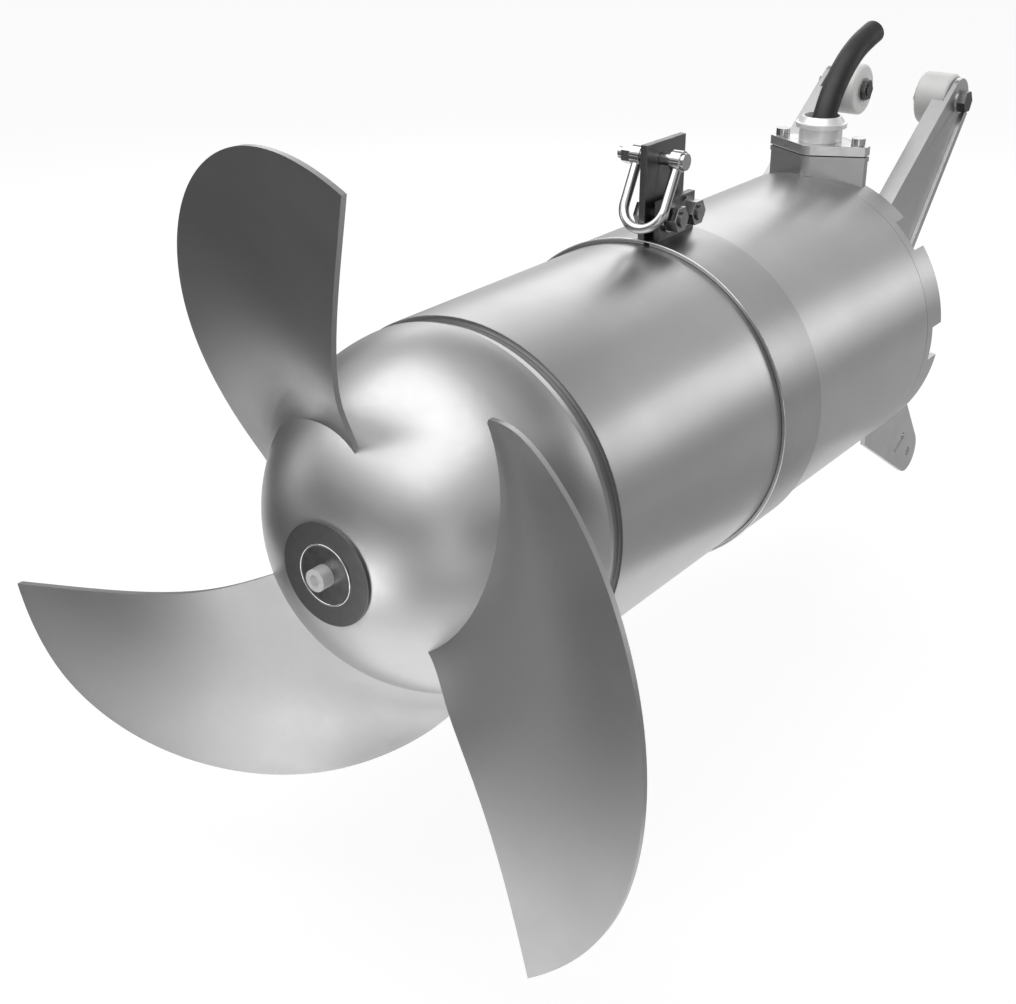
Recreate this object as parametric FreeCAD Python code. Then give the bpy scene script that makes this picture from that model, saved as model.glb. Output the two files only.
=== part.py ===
import FreeCAD, Part
import math
import os

os.makedirs("parts", exist_ok=True)

Vector = FreeCAD.Vector
AXIS = Vector(0, 1, 0)
ACROSS = Vector(1, 0, 0)
UP = Vector(0, 0, 1)

# A direct-drive submersible mixer on a square guide bar, in millimetres.
# The shaft lies along Y and the propeller looks towards -Y. While the pieces
# are made, a station is a distance along Y from the rear rim of the propeller
# hub. Every piece is then moved so that the row's origin is the point of the
# shaft axis in the middle of the guide bar.

# Casing of the motor
casing_radius = 137.5
casing_wall = 5.0
casing_start = 13.9
casing_length = 526.0
seat_gap = 0.05

# Propeller hub and its seat
hub_radius = 136.4
hub_depth = 139.4
hub_wall = 4.0
nose_radius = 37.5
hub_boss_radius = 31.0
hub_boss_length = 66.0
hub_seat_radius = 20.0

# Propeller blades: the pitch eases towards the tail and the tip, and near the
# hub the sheet is twisted further back. Edge points are radii and angles.
blade_count = 3
blade_thickness = 4.6
blade_middle_radius = 200.0
blade_middle_angle = 80.0
blade_middle_station = -156.25
blade_pitch = 341.6
blade_twist = 167.3
blade_curl = 95.2
blade_rake = 48.8
blade_dish = 21.7
root_fade_radius = 105.0
root_fade_power = 8
root_set = 23.0
root_twist = 212.9
root_curl = 546.0
lead_radii = (82.1, 173.8, 232.0, 284.8)
lead_angles = (84.1, 80.8, 77.4, 74.9)
trail_radii = (289.0, 290.8, 288.6, 270.9, 238.3, 199.7, 164.6, 143.0, 126.7)
trail_angles = (80.9, 87.0, 92.8, 105.2, 120.0, 136.8, 153.6, 165.5, 174.0)

# Screw and washers on the hub's nose
nose_washer_thickness = 2.5
nose_washer_hole = 22.3
screw_washer_radius = 21.9
screw_washer_thickness = 3.0
hub_screw_radius = 5.0
hub_screw_head_radius = 8.0
hub_screw_head_length = 10.0
hub_screw_length = 45.0
hub_screw_socket = 8.0
hub_screw_socket_depth = 5.0
shaft_end_recess = 3.0
key_width = 12.0
key_height = 8.0
key_length = 45.0

# Shaft
seal_seat_radius = 22.5
bearing_seat_radius = 27.5
core_seat_radius = 35.0
rear_seat_radius = 25.0

# Front end: seal housing, seals and bearing housing
front_lip_inset = 4.0
front_lip_length = 8.0
front_lip_bevel = 2.5
seal_web_thickness = 12.0
front_rim_width = 12.0
front_dish_depth = 6.0
front_dish_slope = 6.0
front_dish_foot = 6.0
front_dish_rise = 2.0
seal_nose_radius = 62.0
seal_nose_length = 61.0
seal_nose_bevel = 10.0
seal_nose_taper = 12.0
seal_lip_thickness = 3.0
seal_cavity_radius = 39.0
seal_lip_radius = 31.0
seal_ring_outer = 34.0
seal_ring_length = 9.0
seal_ring_step = 2.0
seal_running_gap = 0.3
seal_shaft_gap = 1.5
seal_rear_depth = 6.0
bellows_inset = 4.0
bellows_wall = 2.0
bellows_swell = 3.0
bellows_fold_count = 4
bearing_outer_radius = 50.0
bearing_width = 24.0
bearing_wall = 22.0
bearing_flange_thickness = 12.0
bearing_flange_slope = 6.0
bearing_setback = 21.0
bearing_passage_gap = 10.0
roller_pitch_radius = 38.6
taper_angle = 14.0
taper_roller_radius = 5.6
taper_roller_length = 15.0
taper_roller_count = 13
roller_clearance = 0.05
race_overlap = 1.0
race_rib_gap = 0.3
race_rib_height = 3.5
cage_thickness = 1.6
cage_overhang = 2.2
cage_clearance = 0.2
retainer_thickness = 9.0
retainer_bore_step = 14.0
retainer_screw_count = 6
retainer_screw_radius = 3.0
lock_nut_gap = 2.0
lock_nut_slot_width = 6.0
lock_nut_slot_depth = 4.0
o_ring_section = 3.0

# Motor
core_start = 160.0
stator_depth = 50.5
air_gap = 0.8
winding_bore_gap = 7.0
winding_gap = 10.5
winding_overhang = 34.0
winding_round = 9.0
end_ring_depth = 29.2
end_ring_width = 12.0
end_ring_step = 2.0

# Rear bearing
rear_bearing_radius = 45.0
rear_bearing_width = 20.0
rear_roller_pitch = 35.0
rear_roller_radius = 5.5
rear_roller_length = 12.0
rear_race_lip = 2.0
rear_cage_thickness = 2.4
rear_cage_inset = 1.0
rear_roller_count = 12
rear_bearing_inset = 77.9
rear_shield_gap = 18.0
rear_shield_thickness = 12.0
rear_shield_wall = 14.0
rear_shield_setback = 4.0
rear_shield_slope = 8.0
rear_shield_front_slope = 6.0
rear_shield_floor = 3.0
rear_shield_lip = 5.0
rear_shield_brim = 2.0

# Rear cover with its skirt and the tower of the cable entry
cover_thickness = 12.0
cover_spigot = 12.0
skirt_length = 20.0
skirt_wall = 5.0
notch_count = 8
notch_first_angle = 43.0
notch_width_angle = 13.5
notch_depth = 26.0
cover_screw_inset = 18.5
cover_screw_radius = 5.0
cover_screw_head_radius = 8.0
cover_screw_head_length = 10.0
tower_half_width = 48.5
tower_half_depth = 30.5
tower_end_half = 3.8
tower_wall = 7.0
tower_inset = 6.0
tower_clearance = 6.5
tower_lip_height = 4.5
tower_lip_margin = 0.7
tower_rounding = 11.0
tower_height = 19.0
tower_floor_depth = 55.5
passage_radius = 13.0
passage_sill = 8.0
spigot_wall = 9.0

# Cable entry
gasket_thickness = 1.0
gasket_inset = 1.0
gasket_bore_gap = 4.0
entry_cover_thickness = 9.0
entry_cover_margin = 1.0
entry_screw_spacing = 78.0
entry_screw_radius = 4.0
entry_screw_head_radius = 6.6
entry_screw_head_length = 6.8
gland_base_radius = 20.2
gland_base_height = 12.9
gland_flange_radius = 24.0
gland_flange_height = 4.6
gland_neck_radius = 18.0
gland_height = 23.5
gland_mouth_radius = 16.8
gland_mouth_depth = 12.0
gland_thread_radius = 16.0
cable_radius = 11.0
seal_sleeve_radius = 14.0
entry_screw_reach = 12.0
terminal_width = 36.0
terminal_depth = 22.0
terminal_height = 12.0
tail_rise = 20.0

# Lifting band
band_front = 247.0
band_width = 65.0
lift_plate_width = 60.0
band_thickness = 3.2
band_split = 5.0
lift_plate_thickness = 6.0
lift_plate_height = 79.5
lift_hole_from_top = 14.0
lift_hole_from_front = 23.0
ear_thickness = 6.0
ear_height = 34.5
clamp_bolt_radius = 6.0
clamp_bolt_rise = 20.5
clamp_front_inset = 19.0
clamp_rear_inset = 14.0
ear_inset = 6.0
clamp_head_flats = 19.0
clamp_head_height = 7.5
clamp_nut_height = 10.0
clamp_bolt_end = 2.0
clamp_washer_radius = 12.0
clamp_washer_thickness = 2.5

# Lifting shackle
shackle_pin_radius = 5.0
shackle_pin_clearance = 0.08
shackle_spread = 18.5
shackle_section = 4.2
shackle_drop = 58.5
shackle_eye_radius = 8.5
shackle_eye_width = 9.0
shackle_rest_gap = 0.3
shackle_head_radius = 6.8
shackle_head_length = 3.0
shackle_nut_flats = 15.0
shackle_nut_height = 8.0
shackle_pin_end = 5.0

# Guide bar and the bracket that rides on it
guide_bar_width = 100.0
guide_bar_gap = 1.0
bracket_plate_thickness = 8.0
bracket_plate_width = 132.0
bracket_plate_height = 236.0
bracket_plate_corner = 14.0
bracket_offset = 8.0
bracket_outer = 71.0
bracket_side_thickness = 5.0
bracket_spine_depth = 36.0
bracket_bolt_spacing_x = 84.0
bracket_bolt_drop = 17.0
bracket_bolt_radius = 6.0
bracket_bolt_head = 7.5
bracket_bolt_reach = 18.0
bracket_hole_spare = 2.0
cover_boss_radius = 14.0
bracket_plate_drop = 12.0
bracket_tower_gap = 3.0
saddle_drop = 24.0
saddle_width = 60.0
saddle_height = 70.0
saddle_level = 72.0
saddle_wall = 6.0
upper_arm_height = 186.0
upper_arm_radius = 22.0
upper_arm_root = 110.0
upper_arm_rear_root = 33.0
arm_flange_width = 12.0
arm_flange_length_share = 0.86
arm_hem_width = 8.0
arm_hem_height = 3.0
lower_arm_reach = 47.0
lower_arm_height = -183.0
lower_arm_radius = 22.5
lower_arm_root = -135.0
lower_arm_rear_root = -42.0
lower_hole_radius = 4.5
slot_reach = 20.0
slot_height = -164.0
slot_length = 28.0
slot_width = 8.0
slot_tilt = 27.0

# Guide rollers
guide_roller_radius = 25.5
guide_roller_width = 32.0
guide_roller_edge = 3.0
guide_roller_gap = 0.3
guide_roller_side_gap = 0.3
roller_bolt_radius = 6.0
roller_bolt_clearance = 0.08
roller_washer_radius = 12.0
roller_washer_thickness = 1.2
roller_bolt_flats = 19.0
roller_bolt_head = 7.5
roller_nut_height = 4.5
roller_bolt_spare = 0.8

# Route of the power cable: points chosen by hand along the free stub, each
# given from the gland's axis: across, back, and height above the tower's top.
cable_points = ((0.0, -4.0, 7.3), (0.0, 4.0, 29.2), (-0.1, 16.0, 49.3), (0.1, 31.8, 67.1),
                (0.6, 50.8, 81.6), (1.6, 72.1, 92.3), (2.8, 93.6, 98.6))
arc_share = 0.45
cable_start_drop = 4.0

# Stations that follow from the sizes above
casing_end = casing_start + casing_length
casing_bore = casing_radius - casing_wall
front_lip_radius = casing_radius - front_lip_inset
cover_screw_circle = casing_radius - cover_screw_inset
tower_top = casing_radius + tower_height
tower_floor = casing_radius - tower_floor_depth
lift_plate_top = casing_radius + lift_plate_height
ear_top = casing_radius + ear_height
clamp_bolt_height = casing_radius + clamp_bolt_rise
bracket_bolt_spacing_z = 2 * (tower_floor - bracket_bolt_drop)
stator_bore_radius = casing_bore - stator_depth
rotor_radius = stator_bore_radius - air_gap
winding_inner_radius = stator_bore_radius + winding_bore_gap
winding_outer_radius = casing_bore - winding_gap
end_ring_inner_radius = rotor_radius - end_ring_depth
cover_end = casing_end + cover_thickness
skirt_end = cover_end + skirt_length
bracket_start = skirt_end + bracket_offset
bracket_rear = bracket_start + bracket_plate_thickness
tower_station = skirt_end - tower_inset
bar_front = tower_station + tower_half_depth + tower_clearance
bar_station = bar_front + guide_bar_width / 2
roller_station = bar_front + guide_bar_width + guide_roller_gap + guide_roller_radius
nose_station = -hub_depth * math.sqrt(1 - (nose_radius / hub_radius) ** 2)
shaft_front = nose_station + shaft_end_recess
seal_web_front = casing_start
bearing_flange_start = seal_web_front + seal_web_thickness
bearing_start = bearing_flange_start + bearing_setback
bearing_end = bearing_start + 2 * bearing_width
retainer_end = bearing_end + retainer_thickness
rear_bearing_station = casing_end - rear_bearing_inset
core_end = rear_bearing_station - rear_shield_gap - winding_overhang
band_rear = band_front + band_width
pin_station = band_front + lift_hole_from_front
pin_height = lift_plate_top - lift_hole_from_top
rear_bearing_end = rear_bearing_station + rear_bearing_width
arm_inner = bracket_outer - bracket_side_thickness
lower_arm_station = bar_station + lower_arm_reach
spigot_front = casing_end - cover_spigot
shackle_reach = lift_hole_from_front + shackle_section + shackle_rest_gap
shackle_lean = math.degrees(math.asin(shackle_reach / shackle_drop))


def write(name, shape):
    """Move a piece from its station to the guide bar's frame and write it."""
    placed = shape.copy()
    placed.translate(Vector(0, -bar_station, 0))
    if not placed.isValid():
        print("not valid", name)
    placed.exportStep("parts/" + name + ".step")
    print(name, round(placed.Volume, 1), len(placed.Solids))


def rod(radius, start, end):
    return Part.makeCylinder(radius, end - start, Vector(0, start, 0), AXIS)


def ring(outer, inner, start, end):
    return rod(outer, start, end).cut(rod(inner, start - 1, end + 1))


def turned(profile):
    """Revolve a closed outline of (station, radius) points about the shaft axis."""
    corners = [Vector(radius, station, 0) for station, radius in profile]
    face = Part.Face(Part.makePolygon(corners + [corners[0]]))
    return face.revolve(Vector(0, 0, 0), AXIS, 360)


def post(radius, x, y, bottom, top):
    return Part.makeCylinder(radius, top - bottom, Vector(x, y, bottom), UP)


def pin(radius, left, right, y, z):
    return Part.makeCylinder(radius, right - left, Vector(left, y, z), ACROSS)


def hexagon_across(flats, left, right, y, z):
    """A hexagonal head or nut whose axis lies along X."""
    reach = flats / math.sqrt(3)
    corners = []
    for step in range(7):
        angle = math.radians(60 * step)
        corners.append(Vector(left, y + reach * math.cos(angle), z + reach * math.sin(angle)))
    return Part.Face(Part.makePolygon(corners)).extrude(Vector(right - left, 0, 0))


def hexagon_along(flats, start, end, x, z):
    """A hexagonal head or socket whose axis lies along Y."""
    reach = flats / math.sqrt(3)
    corners = []
    for step in range(7):
        angle = math.radians(60 * step)
        corners.append(Vector(x + reach * math.cos(angle), start, z + reach * math.sin(angle)))
    return Part.Face(Part.makePolygon(corners)).extrude(Vector(0, end - start, 0))


def around(shape, count, first_angle=0.0):
    """Copies of a shape, evenly spaced about the shaft axis."""
    copies = []
    for index in range(count):
        copy = shape.copy()
        copy.rotate(Vector(0, 0, 0), AXIS, -(first_angle + 360.0 * index / count))
        copies.append(copy)
    return copies


def polar(radius, degrees, station):
    angle = math.radians(degrees)
    return Vector(radius * math.cos(angle), station, radius * math.sin(angle))


# Propeller

def dome_radius(station, radius, depth):
    return radius * math.sqrt(max(0.0, 1 - (station / depth) ** 2))


def dome_edge(radius, depth, first_station, last_station):
    """The meridian of a dome as a smooth curve in the XY plane."""
    steps = 8
    first = math.asin(-first_station / depth)
    last = math.asin(-last_station / depth)
    points = []
    for step in range(steps + 1):
        angle = first + (last - first) * step / steps
        points.append(Vector(radius * math.cos(angle), -depth * math.sin(angle), 0))
    curve = Part.BSplineCurve()
    curve.interpolate(points)
    return curve.toShape(), points[0], points[-1]


def dome_solid(radius, depth, nose):
    """The dome filled up to its rear rim, cut flat at the nose."""
    edge, rim, tip = dome_edge(radius, depth, 0.0, nose)
    centre_front = Vector(0, tip.y, 0)
    centre_rear = Vector(0, 0, 0)
    lines = [Part.makeLine(tip, centre_front), Part.makeLine(centre_front, centre_rear),
             Part.makeLine(centre_rear, rim)]
    return Part.Face(Part.Wire([edge] + lines)).revolve(Vector(0, 0, 0), AXIS, 360)


outer_dome = dome_solid(hub_radius, hub_depth, nose_station)


def make_hub():
    inner_nose = nose_station + hub_wall
    hollow = dome_solid(hub_radius - hub_wall, hub_depth - hub_wall, inner_nose)
    shell = outer_dome.cut(hollow)
    boss = rod(hub_boss_radius, nose_station, nose_station + hub_boss_length)
    hub = shell.fuse(boss.common(outer_dome))
    rib = Part.makeBox(hub_boss_length, hub_boss_length * 0.6, hub_wall,
                       Vector(hub_boss_radius - 1, nose_station, -hub_wall / 2))
    ribs = [piece.common(outer_dome) for piece in around(rib, blade_count, 30)]
    hub = hub.fuse(ribs)
    hub = hub.cut(rod(hub_seat_radius + seat_gap, nose_station - 1, 1))
    slot = Part.makeBox(key_width, key_length + hub_boss_length, key_height,
                        Vector(-key_width / 2, nose_station - 1, hub_seat_radius - key_height / 2))
    return hub.cut(slot).removeSplitter()


def blade_station(radius, degrees):
    """Station of the blade's front face at a radius and an angle."""
    span = radius / blade_middle_radius - 1
    turn = (degrees - blade_middle_angle) / 360
    face = blade_middle_station - blade_rake * span - blade_dish * span ** 2
    face += (blade_pitch - blade_twist * span) * turn - blade_curl * turn ** 2
    near_root = 1 / (1 + (radius / root_fade_radius) ** root_fade_power)
    return face + near_root * (root_set - root_twist * turn - root_curl * turn ** 2)


def blade_sheet():
    """A helicoidal slab, wider than the blade all round."""
    rows = 15
    columns = 11
    inner = lead_radii[0] * 0.6
    outer = max(trail_radii) * 1.05
    first = min(lead_angles) - 12
    last = max(trail_angles) + 12
    grid = []
    for row in range(rows):
        radius = inner + (outer - inner) * row / (rows - 1)
        line = []
        for column in range(columns):
            degrees = first + (last - first) * column / (columns - 1)
            line.append(polar(radius, degrees, blade_station(radius, degrees)))
        grid.append(line)
    surface = Part.BSplineSurface()
    surface.interpolate(grid)
    return surface.toShape().extrude(Vector(0, blade_thickness, 0))


def blade_planform():
    """The blade seen along the shaft: a lead edge, a sharp tip and a round tail."""
    depth = -2 * hub_depth
    lead_points = [polar(radius, degrees, depth)
                   for radius, degrees in zip(lead_radii, lead_angles)]
    trail_points = lead_points[-1:] + [polar(radius, degrees, depth)
                                       for radius, degrees in zip(trail_radii, trail_angles)]
    lead = Part.BSplineCurve()
    lead.interpolate(lead_points)
    trail = Part.BSplineCurve()
    trail.interpolate(trail_points)
    root_inside = polar(trail_radii[-1] * 0.55, (trail_angles[-1] + lead_angles[0]) / 2, depth)
    root_front = polar(lead_radii[0] * 0.7, lead_angles[0] + 2, depth)
    root_lines = [Part.makeLine(trail_points[-1], root_inside),
                  Part.makeLine(root_inside, root_front),
                  Part.makeLine(root_front, lead_points[0])]
    outline = Part.Wire([lead.toShape(), trail.toShape()] + root_lines)
    return Part.Face(outline).extrude(Vector(0, 4 * hub_depth, 0))


def make_blades():
    blade = blade_sheet().common(blade_planform()).cut(outer_dome)
    blade = max(blade.Solids, key=lambda solid: solid.Volume)
    for index, copy in enumerate(around(blade, blade_count)):
        write("propeller_blade_%d" % (index + 1), copy)


def make_nose():
    washer_start = nose_station - nose_washer_thickness
    write("nose_ring", ring(nose_radius, nose_washer_hole, washer_start, nose_station))
    washer_front = nose_station - screw_washer_thickness
    washer = ring(screw_washer_radius, hub_screw_radius + seat_gap, washer_front, nose_station)
    write("hub_screw_washer", washer)
    head_front = washer_front - hub_screw_head_length
    screw = rod(hub_screw_head_radius, head_front, washer_front)
    screw = screw.fuse(rod(hub_screw_radius, washer_front, washer_front + hub_screw_length))
    socket = hexagon_along(hub_screw_socket, head_front - 1,
                           head_front + hub_screw_socket_depth, 0, 0)
    write("hub_screw", screw.cut(socket))


def make_shaft():
    seal_end = bearing_start
    shoulder = core_start - end_ring_width * 2
    steps = ((hub_seat_radius, shaft_front, nose_station + hub_boss_length),
             (seal_seat_radius, nose_station + hub_boss_length, seal_end),
             (bearing_seat_radius, seal_end, shoulder),
             (core_seat_radius, shoulder, rear_bearing_station),
             (rear_seat_radius, rear_bearing_station, rear_bearing_end + 4))
    shaft = rod(*steps[0])
    for step in steps[1:]:
        shaft = shaft.fuse(rod(*step))
    screw_hole = rod(hub_screw_radius + seat_gap, shaft_front - 1,
                     nose_station + hub_screw_length + 2)
    key_seat = Part.makeBox(key_width, key_length, key_height,
                            Vector(-key_width / 2, shaft_front + 8, hub_seat_radius - key_height / 2))
    write("shaft", shaft.cut(screw_hole).cut(key_seat).removeSplitter())
    key = Part.makeBox(key_width - 2 * seat_gap, key_length - 2 * seat_gap,
                       key_height - 2 * seat_gap,
                       Vector(-key_width / 2 + seat_gap, shaft_front + 8 + seat_gap,
                              hub_seat_radius - key_height / 2 + seat_gap))
    write("hub_key", key)


# Seals and front bearings

def make_seal_housing():
    nose_front = seal_web_front + seal_web_thickness - seal_nose_length
    seat_start = nose_front + seal_lip_thickness
    lip_front = casing_start - front_lip_length
    rim_radius = front_lip_radius - front_rim_width
    outline = [(lip_front, front_lip_radius - front_lip_bevel),
               (lip_front + front_lip_bevel, front_lip_radius),
               (seal_web_front, front_lip_radius),
               (seal_web_front, casing_bore - seat_gap),
               (bearing_flange_start, casing_bore - seat_gap),
               (bearing_flange_start, seal_cavity_radius),
               (seat_start + seal_ring_length, seal_cavity_radius),
               (seat_start + seal_ring_length, seal_ring_outer + seat_gap),
               (seat_start, seal_ring_outer + seat_gap),
               (seat_start, seal_lip_radius),
               (nose_front, seal_lip_radius),
               (nose_front, seal_nose_radius - seal_nose_taper),
               (nose_front + seal_nose_bevel, seal_nose_radius),
               (lip_front + front_dish_rise, seal_nose_radius + front_dish_foot),
               (lip_front + front_dish_depth, rim_radius - front_dish_slope),
               (lip_front, rim_radius)]
    write("seal_housing", turned(outline))
    return seat_start


def make_seals(seat_start):
    """Back to back face seals around one spring, in the oil chamber."""
    seat_end = seat_start + seal_ring_length
    rear_seat_end = bearing_flange_start + seal_rear_depth
    rear_seat_start = rear_seat_end - seal_ring_length
    inner = seal_seat_radius + seal_shaft_gap
    seats = [ring(seal_ring_outer, inner, seat_start, seat_end),
             ring(seal_ring_outer, inner, rear_seat_start, rear_seat_end)]
    write("seal_seats", Part.makeCompound(seats))
    turning_inner = seal_seat_radius + seat_gap
    turning_outer = seal_ring_outer - seal_ring_step
    outer_end = seat_end + seal_running_gap + seal_ring_length
    inner_start = rear_seat_start - seal_running_gap - seal_ring_length
    turning = [ring(turning_outer, turning_inner, seat_end + seal_running_gap, outer_end),
               ring(turning_outer, turning_inner, inner_start, rear_seat_start - seal_running_gap)]
    write("seal_rings", Part.makeCompound(turning))
    span = inner_start - outer_end
    outline_outer = []
    outline_inner = []
    for fold in range(2 * bellows_fold_count + 1):
        station = outer_end + span * fold / (2 * bellows_fold_count)
        swell = bellows_swell if fold % 2 else 0.0
        outline_outer.append((station, turning_outer - bellows_inset + swell))
        outline_inner.append((station, turning_outer - bellows_inset - bellows_wall + swell))
    write("seal_bellows", turned(outline_outer + outline_inner[::-1]))


def make_bearing_housing():
    bore = bearing_outer_radius + seat_gap
    seal_bore = seal_ring_outer + seat_gap
    seat_front = bearing_flange_start
    seat_rear = bearing_flange_start + seal_rear_depth
    flange_rear = bearing_flange_start + bearing_flange_thickness
    outline = [(seat_front, casing_bore - seat_gap),
               (flange_rear, casing_bore - seat_gap),
               (flange_rear + bearing_flange_slope, bearing_outer_radius + bearing_wall),
               (bearing_end, bearing_outer_radius + bearing_wall),
               (bearing_end, bore),
               (bearing_start, bore),
               (bearing_start, seal_seat_radius + bearing_passage_gap),
               (seat_rear, seal_seat_radius + bearing_passage_gap),
               (seat_rear, seal_bore),
               (seat_front, seal_bore)]
    write("bearing_housing", turned(outline))


def taper_points(side, reach):
    """Points of the roller axis and of both races, at one end of the rollers."""
    tilt = math.radians(taper_angle)
    apex = roller_pitch_radius / math.sin(tilt)
    along = apex + reach
    radius = taper_roller_radius * along / apex
    centre = (along * math.cos(tilt), along * math.sin(tilt))
    normal = (-math.sin(tilt), math.cos(tilt))
    spread = (radius + roller_clearance) * side
    return centre[0] + normal[0] * spread, centre[1] + normal[1] * spread


def taper_row(start, forward):
    """Cup, cone, rollers and cage of one taper roller bearing."""
    tilt = math.radians(taper_angle)
    apex = roller_pitch_radius / math.sin(tilt)
    middle = apex * math.cos(tilt)
    half = taper_roller_length / 2
    shift = start + bearing_width / 2 - middle
    low = middle - bearing_width / 2
    high = middle + bearing_width / 2
    inner_low = taper_points(-1, -half - race_overlap)
    inner_high = taper_points(-1, half + race_rib_gap)
    outer_low = taper_points(1, -half - race_overlap)
    outer_high = taper_points(1, half + race_overlap)
    rib = inner_high[1] + race_rib_height
    cone = [(low, bearing_seat_radius + seat_gap), (high, bearing_seat_radius + seat_gap),
            (high, rib), (inner_high[0], rib), inner_high, inner_low, (low, inner_low[1])]
    cup = [(low, bearing_outer_radius), (high, bearing_outer_radius),
           (high, outer_high[1]), outer_high, outer_low, (low, outer_low[1])]
    small = taper_roller_radius * (apex - half) / apex
    large = taper_roller_radius * (apex + half) / apex
    direction = Vector(math.sin(tilt), math.cos(tilt), 0)
    origin = direction * (apex - half)
    roller = Part.makeCone(small, large, taper_roller_length, origin, direction)
    pocket_origin = direction * (apex - half - cage_clearance)
    pocket = Part.makeCone(small + cage_clearance, large + cage_clearance,
                           taper_roller_length + 2 * cage_clearance, pocket_origin, direction)
    thick = cage_thickness / 2 / math.cos(tilt)
    cage_half = half + cage_overhang
    shell = []
    for reach, side in ((-cage_half, -1), (cage_half, -1), (cage_half, 1), (-cage_half, 1)):
        along = apex + reach
        shell.append((along * math.cos(tilt), along * math.sin(tilt) + side * thick))
    cage = turned(shell)
    for cut in around(pocket, taper_roller_count):
        cage = cage.cut(cut)
    pieces = [turned(cup), turned(cone), Part.makeCompound(around(roller, taper_roller_count)), cage]
    for piece in pieces:
        if forward:
            piece.rotate(Vector(0, middle, 0), UP, 180)
        piece.translate(Vector(0, shift, 0))
    return pieces


def make_front_bearings():
    first = taper_row(bearing_start, True)
    second = taper_row(bearing_start + bearing_width, False)
    names = ("front_bearing_cups", "front_bearing_cones", "front_bearing_rollers",
             "front_bearing_cages")
    for name, one, two in zip(names, first, second):
        write(name, Part.makeCompound(one.Solids + two.Solids))


def make_retainer():
    bore = bearing_seat_radius + retainer_bore_step
    outer = bearing_outer_radius + bearing_wall
    plate = ring(outer, bore, bearing_end, retainer_end)
    circle = bearing_outer_radius + bearing_wall / 2
    hole = Part.makeCylinder(retainer_screw_radius + seat_gap, retainer_thickness + 2,
                             Vector(circle, bearing_end - 1, 0), AXIS)
    for cut in around(hole, retainer_screw_count):
        plate = plate.cut(cut)
    write("bearing_retainer", plate)
    head = Part.makeCylinder(retainer_screw_radius * 1.7, retainer_screw_radius * 2,
                             Vector(circle, retainer_end, 0), AXIS)
    shank = Part.makeCylinder(retainer_screw_radius, retainer_thickness,
                              Vector(circle, bearing_end, 0), AXIS)
    write("retainer_screws", Part.makeCompound(around(head.fuse(shank), retainer_screw_count)))
    nut_radius = bore - lock_nut_gap
    nut = ring(nut_radius, bearing_seat_radius + seat_gap, bearing_end, retainer_end)
    slot = Part.makeBox(2 * lock_nut_slot_depth, retainer_thickness + 2, lock_nut_slot_width,
                        Vector(nut_radius - lock_nut_slot_depth, bearing_end - 1,
                               -lock_nut_slot_width / 2))
    for cut in around(slot, 4):
        nut = nut.cut(cut)
    write("shaft_lock_nut", nut)


# Casing and motor

def make_casing():
    write("motor_casing", ring(casing_radius, casing_bore, casing_start, casing_end))
    half_section = o_ring_section / 2
    o_ring = Part.makeTorus(casing_bore - half_section - seat_gap, half_section,
                            Vector(0, spigot_front + half_section + seat_gap, 0), AXIS)
    write("cover_o_ring", o_ring)


def make_motor():
    write("stator_core", ring(casing_bore - seat_gap, stator_bore_radius, core_start, core_end))
    windings = []
    for start, end in ((core_start - winding_overhang, core_start),
                       (core_end, core_end + winding_overhang)):
        free = start if start < core_start else end
        back = end if start < core_start else start
        inward = winding_round if free < back else -winding_round
        outline = [(back, winding_inner_radius), (back, winding_outer_radius),
                   (free + inward, winding_outer_radius),
                   (free + inward * 0.3, winding_outer_radius - winding_round * 0.3),
                   (free, winding_outer_radius - winding_round),
                   (free, winding_inner_radius + winding_round),
                   (free + inward * 0.3, winding_inner_radius + winding_round * 0.3),
                   (free + inward, winding_inner_radius)]
        windings.append(turned(outline))
    write("stator_windings", Part.makeCompound(windings))
    write("rotor_core", ring(rotor_radius, core_seat_radius + seat_gap, core_start, core_end))
    ring_outer = rotor_radius - end_ring_step
    ends = [ring(ring_outer, end_ring_inner_radius, core_start - end_ring_width, core_start),
            ring(ring_outer, end_ring_inner_radius, core_end, core_end + end_ring_width)]
    write("rotor_end_rings", Part.makeCompound(ends))


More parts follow.
